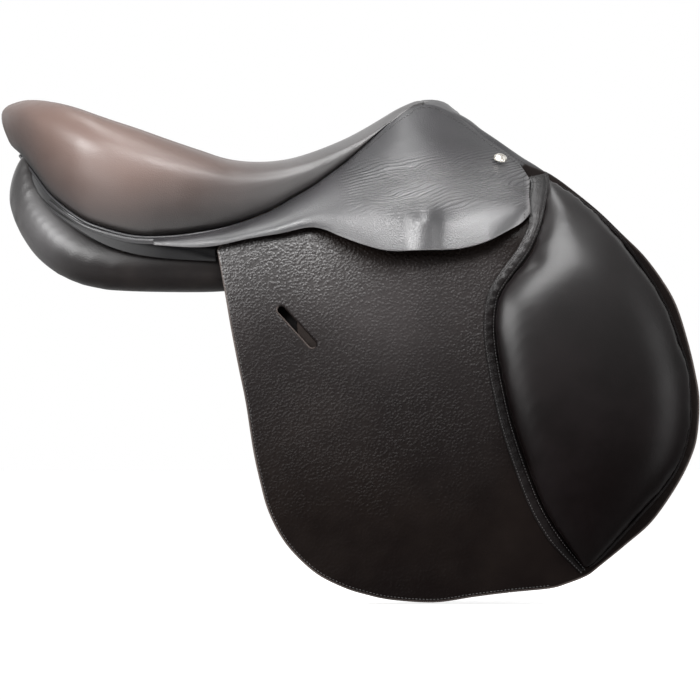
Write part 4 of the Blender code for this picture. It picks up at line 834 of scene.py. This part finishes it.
def makeSkirt(sideName, side, s):
    bm = bmesh.new()
    bridge(bm, [[bm.verts.new((p[0], p[1] * side, p[2])) for p in column] for column in skirtPoints])
    turnOutward(bm, 1, side)
    skirt = newPiece("skirtHide_" + sideName, bm, finishes["skirt"], recalc=False)
    modify(skirt, "SOLIDIFY", thickness=s["leather"], offset=1.0)
    rimmed(skirt, s["rim"], segments=3, angle=50)
    applyModifiers(skirt)
    x, z = placesOf(skirt)
    hem = np.interp(x, hemRows[:, 0], hemRows[:, 1])
    # creased across the front, light at the hem and the front rim, polished low down and on the creases
    across = z - (0.096 + (x - 0.1) * 0.06)
    creased = np.exp(-(np.abs(across) / 0.019) ** 3) * ramp(x, 0.03, 0.06)
    setAttribute(skirt, "creased", creased)
    rims = np.maximum(np.clip(1 - (z - hem) / 0.0022, 0, 1) * 0.8, ramp(x, 0.2042, 0.0012))
    setAttribute(skirt, "edge", rims)
    polish = np.maximum(np.clip((hem + 0.036 - z) / 0.03, 0, 1), creased * 0.8)
    setAttribute(skirt, "polish", (0.35 + 0.65 * ramp(x, 0.03, 0.05)) * polish)
    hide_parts("skirt_" + sideName, "skirt_lobe_" + sideName)
    acrossFold(skirt)
    underWelt = []
    for i in range(5, s["columns"] - 5):
        run = np.cumsum(np.linalg.norm(np.diff(skirtPoints[i], axis=0), axis=1))
        underWelt.append(onSkirt(i, int(np.searchsorted(run, min(0.0042, run[-1] * 0.45))) + 1, side))
    atFront = [onSkirt(s["columns"] - 4, k, side) for k in range(8, s["rows"] - 3)]
    threads = stitched("skirtStitches_" + sideName, [underWelt, atFront], pitch=0.0029, length=0.0021,
                       thread=0.0006)
    acrossFold(threads)


for sideName, side in sides.items():
    makeSkirt(sideName, side, skirtSet)
print("skirts made")

# flaps: the edge that is seen, the part under the skirt, and how deep the hem of the skirt shades them
flapEdge = ((-75, 37), (-68, -1), (-62.3, -34), (-55.6, -68), (-48.8, -101), (-42.2, -143), (-35.6, -173),
            (-29.2, -196), (-18, -219), (-4, -237), (16, -254.5), (39, -266), (58, -272), (82, -277),
            (121, -279.3), (156, -274.5), (188, -270.5), (224, -267), (239, -263), (258, -255.6),
            (269.5, -247), (292.6, -228.4), (316.8, -207.2), (339.4, -175.4), (352.6, -149.4), (358.2, -129),
            (360, -98), (355.8, -70.8), (349, -42.8), (339.8, -14), (328.4, 7), (310.4, 31.2), (289.4, 52),
            (269.8, 71), (247.6, 89.2), (229.4, 102.6), (216, 109), (203, 114))
flapHidden = ((192, 106), (168, 86), (140, 70), (60, 69), (-20, 62), (-66, 48))
hemShade = ((-75, 3), (-20, 8), (5, 10), (27, 19), (63, 28), (100, 24), (135, 22), (180, 22), (207, 16))
flapSet = {"step": 0.006, "stitchIn": 0.0028, "stitchTo": (0.225, 0.036)}
slotSet = {"length": 0.048, "width": 0.0066, "centre": (-0.003, -0.0325), "slant": math.radians(-47.5),
           "rim": 0.0007, "cut": 0.022}
flapSeen = [tuple(p) for p in evenCurve(inMetres(flapEdge), 230)]
flapOutline = flapSeen + inMetres(flapHidden)


def slotLine(grow, count):
    straight = (slotSet["length"] - slotSet["width"]) / 2
    r = slotSet["width"] / 2 + grow
    points = []
    for end, turn in ((1, -90), (-1, 90)):
        for k in range(count + 1):
            a = math.radians(turn + 180 * k / count)
            points.append(Vector((end * straight + r * math.cos(a), r * math.sin(a))))
    points = [p @ Matrix.Rotation(-slotSet["slant"], 2) for p in points]
    return [(slotSet["centre"][0] + p.x, slotSet["centre"][1] + p.y) for p in points]


def cutSlot(flap, side):
    hole = bmesh.new()
    ends = []
    for reach in (-slotSet["cut"], slotSet["cut"]):
        y = splayAt(slotSet["centre"][1]) + reach
        ends.append([hole.verts.new((x, side * y, z)) for x, z in slotLine(0.0, 12)])
        hole.faces.new(ends[-1])
    bridge(hole, ends, around=True)
    cutter = newPiece("slotCutter", hole, finishes["flap"])
    modify(flap, "BOOLEAN", operation="DIFFERENCE", solver="EXACT", object=cutter)
    applyModifiers(flap)
    bpy.data.objects.remove(cutter, do_unlink=True)


def wearAndPaintedLightOnFlap(flap):
    x, z = placesOf(flap)
    # the grain is rubbed flat towards the knee pad and low down
    grain = 1.0 - 0.85 * ramp(x, 0.07, 0.16) * np.clip((0.05 - z) / 0.2, 0.3, 1)
    grain *= 1.0 - 0.45 * ramp(z, -0.12, -0.1)
    setAttribute(flap, "grain", grain * (1.0 - 0.9 * ramp(x, 0.185, 0.015)))
    worn = np.empty(len(x), np.float32)
    edge = flap.data.attributes["edge"].data
    edge.foreach_get("value", worn)
    worn *= 1.0 - 0.95 * ramp(x, 0.18, 0.02) * ramp(z, 0.0, 0.06)
    edge.foreach_set("value", worn.astype(np.float32))
    # painted shade: dark where the skirt's hem shades them, with rub and shine taken away there; painted
    # light from above: lighter high up; rubbed in a palm's place; polished behind it
    upper = ramp(z, -0.2, 0.2) ** 1.3 * np.clip((0.2 - x) / 0.03, 0.1, 1)
    palm = np.exp(-((x - 0.075) / 0.05) ** 2 - ((z + 0.02) / 0.045) ** 2)
    hem = np.interp(x, hemRows[:, 0], hemRows[:, 1], right=0.2)
    dark = np.clip(1.3 * (1 - (hem - z) / readTable(hemShade, x)), 0, 1) * ramp(x, 0.212, -0.01)
    setAttribute(flap, "wearAndPaintedLight", np.clip((0.6 * upper + 0.5 * palm) * (1 - dark), 0, 1))
    under = ramp(z, -0.04, 0.075) ** 1.4 * ramp(x, 0.085, -0.07)
    setAttribute(flap, "polish", (0.12 * upper + 0.88 * under) * (1 - dark))


def makeFlap(sideName, side, s):
    flap = sideSheet("flapHide_" + sideName, flapOutline, side, flapLeather, s["step"], finishes["flap"])
    cutSlot(flap, side)
    wearAndPaintedLightOnFlap(flap)
    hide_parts("flap_" + sideName, "flap_top_" + sideName)
    acrossFold(flap)

    rim = [Vector((x, side * onFlap(x, z, 0.0), z)) for x, z in slotLine(slotSet["rim"], 14)]
    bead = tube("slotRim_" + sideName, rim, slotSet["rim"], finishes["flap"], closed=True)
    x, z = placesOf(bead)
    lower = (x - slotSet["centre"][0]) * -0.74 + (z - slotSet["centre"][1]) * -0.68
    # painted highlight: the rim's light edge colour is laid along its lower side only
    setAttribute(bead, "edge", np.clip(0.5 + lower / 0.003, 0.05, 1.0))  # light along its lower side
    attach(bead, "flap_" + sideName)

    inset = inward(flapOutline, s["stitchIn"])[: len(flapSeen)]
    rearPart = [Vector((p.x, side * onFlap(p.x, p.y, threadLift), p.y)) for p in inset
                if p.x < s["stitchTo"][0] and p.y < s["stitchTo"][1]]
    threads = stitched("flapStitches_" + sideName, [rearPart], pitch=0.0032, length=0.0023, thread=0.0007)
    acrossFold(threads)


for sideName, side in sides.items():
    makeFlap(sideName, side, flapSet)
print("flaps made")

# knee pads
padRear = ((226, 97), (224, 82), (218, 59), (207, 34), (190, 11), (180.5, -4.5), (177, -22), (177, -43),
           (180.5, -68), (185, -91), (193, -124), (208, -168), (220.5, -197), (237, -223), (257, -249))
padFront = ((259, -247), (273.5, -234), (301, -205), (330, -172), (344, -144), (350, -115), (350, -107),
            (348, -73), (340, -45), (331, -20), (317, 6), (300, 31), (284, 51), (264, 70), (246, 84),
            (229, 95))
padSet = {"crown": 0.0175, "edge": 0.0045, "fill": 0.0040, "shoulder": 0.05, "waist": 0.03, "step": 0.005,
          "voxel": 0.0032, "cap": 0.004}
padOutline = [(p.x, p.y) for p in evenCurve(inMetres(padRear), 80) + evenCurve(inMetres(padFront), 90)]


def padCrown(x, z, deep, s):
    share = min(1.0, deep / s["shoulder"])
    crown = s["crown"] * (1 - (1 - share) ** 2.3) ** 0.78
    waist = math.exp(-(aboveFold("flap", x, z) / s["waist"]) ** 2)  # lower where the flap turns up
    return s["edge"] + crown * (1 - 0.5 * waist)


def makePad(s):
    bm = gridded(inward(padOutline, -s["fill"]), s["step"])
    ring = boundaryOf(bm)
    inner = doubled(bm)
    bridge(bm, [ring, [inner[v] for v in ring]], around=True)
    deep = distanceTo([(v.co.x, v.co.z) for v in ring], [(v.co.x, v.co.z) for v in inner])
    for (upper, lower), d in zip(inner.items(), deep):
        x, z = upper.co.x, upper.co.z
        upper.co.y = -(onFlap(x, z) + padCrown(x, z, d, s))
        lower.co.y = -onFlap(x, z)
    pad = newPiece("kneePad_right", bm, finishes["pad"])
    cushion(pad, s["voxel"], s["cap"])
    points = pointsOf(pad)
    for point in points:
        point[1] = min(point[1], -onFlap(point[0], point[2]))
    movePoints(pad, points)
    setAttribute(pad, "polish", ramp(points[:, 2], -0.2, 0.26) ** 1.8)
    return pad


padRight = makePad(padSet)
padLeft = mirrored(padRight, "kneePad_left")
for sideName, pad in (("right", padRight), ("left", padLeft)):
    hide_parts("knee_pad_" + sideName, "knee_pad_top_" + sideName)
    acrossFold(pad)
print("knee pads made")

# creased band behind each pad, with a wider tab at its top, and piping in front
bandSet = {"top": (224.5, 106), "width": 0.011, "tab": 0.007, "thick": 0.0024, "away": 0.0006,
           "seams": (0.16, 0.84), "rumple": 0.0009, "sunk": 0.00045, "along": 210, "across": 12}
pipingSet = {"radius": 0.0019, "away": 0.0011, "over": 0.0018}


def makeBand(sideName, side, s):
    line = evenCurve(inMetres((s["top"], *padRear)), s["along"])
    bm = bmesh.new()
    rings = []
    seams = [[] for seamAt in s["seams"]]
    for i, p in enumerate(line):
        along = headingAt(line, i).normalized()
        back = towards(Vector((along.y, -along.x)), 0, -1)
        share = i / (len(line) - 1)
        width = s["width"] * (1 - 0.45 * max(0.0, (share - 0.9) / 0.1))
        width += s["tab"] * ramp(share, 0.13, -0.04)
        rumple = s["rumple"] * (0.35 + 0.65 * math.exp(-((share - 0.28) / 0.16) ** 2))
        upper, lower = [], []
        for t in (k / s["across"] for k in range(s["across"] + 1)):
            q = p + back * (s["away"] + width * t)
            dome = s["thick"] * (0.45 + 0.55 * math.sin(math.pi * t) ** 0.6)
            wave = math.sin(i * 1.9 + 1.3 * math.sin(i * 0.37)) * math.sin(i * 0.71 + 2.0 * t)
            dome += rumple * wave * math.sin(math.pi * t)
            dome -= sum(s["sunk"] * math.exp(-((t - seamAt) / 0.07) ** 2) for seamAt in s["seams"])
            y = onFlap(q.x, q.y)
            upper.append(bm.verts.new((q.x, side * (y + dome), q.y)))
            lower.append(bm.verts.new((q.x, side * y, q.y)))
        rings.append(upper + lower[::-1])
        if i in (0, len(line) - 1):
            bridge(bm, [upper, lower])
        for seam, seamAt in zip(seams, s["seams"]):
            q = p + back * (s["away"] + width * seamAt)
            seam.append(Vector((q.x, side * (onFlap(q.x, q.y) + s["thick"] * 0.78), q.y)))
    bridge(bm, rings, around=True)
    band = newPiece("kneeBand_" + sideName, bm, finishes["band"])
    setAttribute(band, "polish", ramp(pointsOf(band)[:, 2], -0.02, 0.08))
    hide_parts("knee_band_" + sideName)
    acrossFold(band)
    threads = stitched("bandStitches_" + sideName, seams, pitch=0.0028, length=0.002, thread=0.0007)
    acrossFold(threads)


def makePiping(sideName, side, s):
    line = evenCurve(inMetres(padFront), 150)
    path = []
    for i, p in enumerate(line):
        along = headingAt(line, i).normalized()
        q = p + towards(Vector((along.y, -along.x)), 0) * s["away"]
        path.append(Vector((q.x, side * onFlap(q.x, q.y, s["over"]), q.y)))
    piping = tube("padPiping_" + sideName, path, s["radius"], finishes["band"], taper=3)
    acrossFold(piping)


for sideName, side in sides.items():
    makeBand(sideName, side, bandSet)
    makePiping(sideName, side, pipingSet)
print("bands and piping made")

# glossy roll between the seat and the panels, round the back
panelSeam = ((-253, 0, 118), (-249, 30, 109), (-243, 52, 96), (-230, 80, 77), (-210, 102, 61),
             (-185, 113, 45), (-159, 118, 35), (-130, 120.5, 30), (-99, 120.5, 27.5), (-76, 120.5, 26.5))
cantleSet = {"to": -0.072, "rows": 90, "down": 12, "roll": 0.003, "leather": 0.0025, "away": 0.0042,
             "rim": 0.0009}


def makeCantleFacing(s):
    upper = [p for p in evenCurve(inMetres(seatTables["edge"]), 420) if p.x < s["to"]]
    lower = evenCurve(inMetres(panelSeam), s["rows"])
    rows = []
    for i, low in enumerate(lower):
        share = i / (len(lower) - 1)
        high = upper[round(share * (len(upper) - 1))].copy()
        high.y = max(0.0, high.y - s["away"]) if i else 0.0
        high.x += s["away"] * max(0.0, 1 - share * 3)
        high.z += 0.001
        middle = (high + low) / 2
        middle.z -= 0.0015
        ahead = headingAt(lower, i)
        out = towards(Vector((-ahead.y, ahead.x, 0)).normalized(), 1) if i else Vector((-1, 0, 0))
        row = []
        for t in (k / s["down"] for k in range(s["down"] + 1)):
            p = high * (1 - t) ** 2 + middle * (2 * t * (1 - t)) + low * t**2
            row.append(p + out * (s["roll"] * math.sin(math.pi * t) ** 0.8))
        rows.append(row)
    bm = bmesh.new()
    for side in (1.0, -1.0):
        bridge(bm, [[bm.verts.new((p.x, p.y * side, p.z)) for p in row] for row in rows])
    bmesh.ops.remove_doubles(bm, verts=bm.verts[:], dist=0.0001)
    turnOutward(bm, 1)
    facing = newPiece("cantleRoll", bm, finishes["gloss"], recalc=False)
    modify(facing, "SOLIDIFY", thickness=s["leather"], offset=-1.0)
    rimmed(facing, s["rim"], segments=2, angle=50)
    applyModifiers(facing)
    setAttribute(facing, "polish", ramp(pointsOf(facing)[:, 0], -0.12, -0.07))
    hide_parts("cantle_facing")
    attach(facing, "tree")


makeCantleFacing(cantleSet)

# pommel facing: sewn under the skirts, stuffed towards a roll in front; a section is share forward, thickness
pommelTables = {
    "sewn": ((109, 0, 170.0), (109, 24, 168.6), (110.5, 35, 167), (118, 41, 163.2), (135, 44, 154.0),
             (152, 50, 141.5), (174, 61, 126.5), (195, 67.2, 114), (209, 62.5, 106.5), (226, 70, 98)),
    "roll": ((137, 0, 159.4), (139.5, 20, 156.2), (149, 29, 151), (161.5, 37, 141.6), (178, 46, 130.6),
             (198, 50, 116.5), (212, 53, 108), (225, 62, 99)),
    "section": ((0.0, 1.2), (0.12, 1.5), (0.3, 2.2), (0.48, 3.0), (0.65, 3.8), (0.8, 4.3), (0.95, 4.4),
                (1.05, 4.1), (1.15, 3.4), (1.22, 2.4), (1.26, 1.2)),
}
pommelSet = {"count": 60, "arch": 3.7, "archWide": 34, "even": 6, "seamAt": 0.42, "seamOver": 0.0029,
             "unsewn": 14}


def makePommelFacing(tables, s):
    sewn, roll = (evenCurve(inMetres(tables[k]), s["count"]) for k in ("sewn", "roll"))
    sewn, roll = ([Vector((p.x, -p.y, p.z)) for p in line[:0:-1]] + line for line in (sewn, roll))
    overs = []
    for i, (back, front) in enumerate(zip(sewn, roll)):
        overs.append(towards((front - back).cross(headingAt(roll, i, reach=2)).normalized(), 2))
    for turn in range(s["even"]):
        overs = [(overs[max(i - 1, 0)] + overs[i] + overs[min(i + 1, len(overs) - 1)]).normalized()
                 for i in range(len(overs))]
    bm = bmesh.new()
    rings = []
    seams = {1: [], -1: []}
    for i, (back, front, over) in enumerate(zip(sewn, roll, overs)):
        arch = over * (4 * s["arch"] * mm * math.exp(-(back.y / (s["archWide"] * mm)) ** 2))
        line = [(back.lerp(front, share) + arch * max(0.0, share * (1 - share)), over * thick * mm)
                for share, thick in tables["section"]]
        rings.append([bm.verts.new(q + t) for q, t in line] + [bm.verts.new(q - t) for q, t in line[::-1]])
        if abs(i - s["count"] + 1) > s["unsewn"]:
            seam = seams[1 if i > s["count"] else -1]
            seam.append(back.lerp(front, s["seamAt"]) + over * s["seamOver"])
    bridge(bm, rings, around=True)
    bm.faces.new(rings[0])
    bm.faces.new(rings[-1])
    facing = newPiece("pommelRoll", bm, finishes["skirt"])
    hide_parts("pommel_facing")
    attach(facing, "tree")
    threads = stitched("pommelStitches", [seams[1], seams[-1]], pitch=0.0029, length=0.0021, thread=0.0006)
    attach(threads, "tree")


makePommelFacing(pommelTables, pommelSet)


# softened copies of CAD pieces
def softened(name, node, material, levels, bevel):
    bm = bmesh.new()
    bm.from_mesh(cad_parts[node].data)
    bmesh.ops.remove_doubles(bm, verts=bm.verts[:], dist=0.00002)
    bmesh.ops.join_triangles(bm, faces=bm.faces[:], angle_face_threshold=math.radians(50),
                             angle_shape_threshold=math.radians(70))
    if levels:
        sharp = bm.edges.layers.float.new("crease_edge")
        for edge in bm.edges:
            if len(edge.link_faces) == 2 and edge.calc_face_angle() > math.radians(42):
                edge[sharp] = 0.85
    made = newPiece(name, bm, material, recalc=False)
    if bevel:
        rimmed(made, bevel, segments=2, angle=45)
    if levels:
        modify(made, "SUBSURF", levels=levels, render_levels=levels)
    return applyModifiers(made)


# panels: fuller towards the rear, with the upper rear tip drawn out to a horn
panelSet = {"voxel": 0.005, "cap": 0.003, "full": 0.0038, "fuller": 0.0088, "horn": 0.021, "relax": 150}


def plump(panel, s):
    points = pointsOf(panel)
    normals = np.array([v.normal for v in panel.data.vertices])
    rear = ramp(points[:, 0], -0.16, -0.07)
    out = (s["full"] + (s["fuller"] - s["full"]) * rear) * ramp(points[:, 0], -0.03, -0.05)
    points[:, 0] += out * np.minimum(0, normals[:, 0]) * 1.3
    points[:, 1] += out * normals[:, 1] * 0.5
    points[:, 2] += out * np.where(normals[:, 2] < 0, normals[:, 2], normals[:, 2] * rear)
    horn = ramp(points[:, 2], 0.082, 0.03) ** 1.5 * ramp(points[:, 0], -0.2, -0.03)
    points[:, 0] += horn * s["horn"] * 0.4
    points[:, 2] += horn * s["horn"]
    movePoints(panel, points)
    modify(panel, "SMOOTH", factor=0.5, iterations=s["relax"])
    applyModifiers(panel)
    x, z = placesOf(panel)
    setAttribute(panel, "polish", ramp(z, 0.01, 0.05))
    # painted highlight: a light patch on the upper rear end, set as its rubbed colour
    setAttribute(panel, "wearAndPaintedLight", np.exp(-((x + 0.232) / 0.026) ** 2 - ((z - 0.056) / 0.03) ** 2))


panelRight = softened("panel_hide_right", "panel_right", finishes["panel"], 1, 0.0)
cushion(panelRight, panelSet["voxel"], panelSet["cap"])
plump(panelRight, panelSet)
panelLeft = mirrored(panelRight, "panel_hide_left")
for sideName, panel in (("right", panelRight), ("left", panelLeft)):
    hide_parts("panel_" + sideName)
    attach(panel, "tree")
print("panels made")

# bridges, sweat flaps, blocks, girth straps and guards: finish, slot, body and the rounding of the rim
softTable = {
    "sweat_flap": ("panel", "sweat_leather", "tree", 0.0011),
    "knee_block": ("pad", "block_foam", "tree", 0.003),
    "thigh_block": ("pad", "block_foam", "tree", 0.003),
    "billet_front": ("strap", "strap_leather", "girth_straps", 0.0009),
    "billet_middle": ("strap", "strap_leather", "girth_straps", 0.0009),
    "billet_rear": ("strap", "strap_leather", "girth_straps", 0.0009),
    "buckle_guard": ("strap", "strap_leather", "buckle_guard", 0.0005),
}
for name in ("front_bridge", "rear_bridge"):
    made = softened(name + "_hide", name, finishes["panel"], 0, 0.0008)
    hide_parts(name)
    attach(made, "tree")
for sideName in sides:
    for node, (look, slot, body, bevel) in softTable.items():
        made = softened(f"{node}_hide_{sideName}", f"{node}_{sideName}", finishes[look], 0, bevel)
        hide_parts(f"{node}_{sideName}")
        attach(made, "tree" if body == "tree" else f"{body}_{sideName}")

# finishes of the CAD pieces that stay, by the start of their names
cadLooks = {"nail": "silver", "stirrup_bar": "steel", "bar_": "steel", "catch_pin": "steel",
            "head_plate": "blued", "gullet_plate": "blued", "tree_spring": "blued", "tree_head": "beech",
            "tree_cantle": "beech", "tree_rail": "beech", "seat_web": "linen", "front_girth_web": "linen",
            "rear_girth_web": "linen", "seat_foam": "foam"}
for node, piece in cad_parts.items():
    for start, look in cadLooks.items():
        if node.startswith(start):
            for slotIn in piece.material_slots:
                slotIn.material = finishes[look]
print("CAD pieces finished")

# floor, light and background
studio = {"floor": 0.88, "floorLevel": -0.2815, "floorReach": 6.0, "ambient": 0.2, "floorGlow": 0.82,
          "lampsAim": (0.05, -0.1, 0)}
lamps = {
    "keyLight": {"power": 9.0, "size": (0.5, 0.16), "spot": (0.1, -0.62, 0.58)},
    "topLight": {"power": 10.0, "size": (0.9, 0.3), "spot": (0.0, -0.15, 1.1)},
    "sideLight": {"power": 31.0, "size": (0.9, 0.5), "spot": (-0.85, -0.95, 0.58)},
    "rimLight": {"power": 7.0, "size": (0.3, 0.6), "spot": (1.25, -0.7, 0.15)},
}


def makeFloor(s):
    mesh = bpy.data.meshes.new("studioFloor")
    corners = ((-1, -1), (1, -1), (1, 1), (-1, 1))
    mesh.from_pydata([(x * s["floorReach"], y * s["floorReach"], s["floorLevel"]) for x, y in corners], [],
                     [(0, 1, 2, 3)])
    floor = bpy.data.objects.new("studioFloor", mesh)
    scene.collection.objects.link(floor)
    material, tree, shader = newMaterial("paleFloor")
    rays = addNode(tree, "ShaderNodeLightPath", {})  # the camera sees the floor as pale as the background
    glow = mathNode(tree, "MULTIPLY", rays.outputs["Is Camera Ray"], s["floorGlow"])
    setSockets(tree, shader, {"Base Color": (s["floor"],) * 3, "Roughness": 0.9, "Specular IOR Level": 0.1,
                              "Emission Color": (1.0, 1.0, 1.0), "Emission Strength": glow})
    mesh.materials.append(material)


def makeBackground(s):
    world = bpy.data.worlds.new("studioWorld")
    world.use_nodes = True
    scene.world = world
    tree = world.node_tree
    tree.nodes.clear()
    soft, white = (addNode(tree, "ShaderNodeBackground", {"Color": (1.0, 1.0, 1.0), "Strength": strength})
                   for strength in (s["ambient"], 1.0))
    rays = addNode(tree, "ShaderNodeLightPath", {}).outputs
    seen = mathNode(tree, "MAXIMUM", rays["Is Camera Ray"], rays["Is Glossy Ray"])
    seen = mathNode(tree, "MAXIMUM", seen, rays["Is Transmission Ray"])
    mix = addNode(tree, "ShaderNodeMixShader", {0: seen, 1: soft.outputs[0], 2: white.outputs[0]})
    addNode(tree, "ShaderNodeOutputWorld", {"Surface": mix.outputs[0]})


def makeLamp(name, lamp):
    data = bpy.data.lights.new(name, "AREA")
    data.shape = "RECTANGLE"
    data.size, data.size_y = lamp["size"]
    data.energy = lamp["power"]
    made = bpy.data.objects.new(name, data)
    scene.collection.objects.link(made)
    made.location = lamp["spot"]
    made.rotation_mode = "QUATERNION"
    made.rotation_quaternion = (Vector(studio["lampsAim"]) - Vector(lamp["spot"])).to_track_quat("-Z", "Y")


makeFloor(studio)
makeBackground(studio)
for name, lamp in lamps.items():
    makeLamp(name, lamp)
scene.view_settings.view_transform = "Standard"
bpy.context.view_layer.update()
print("scene made")
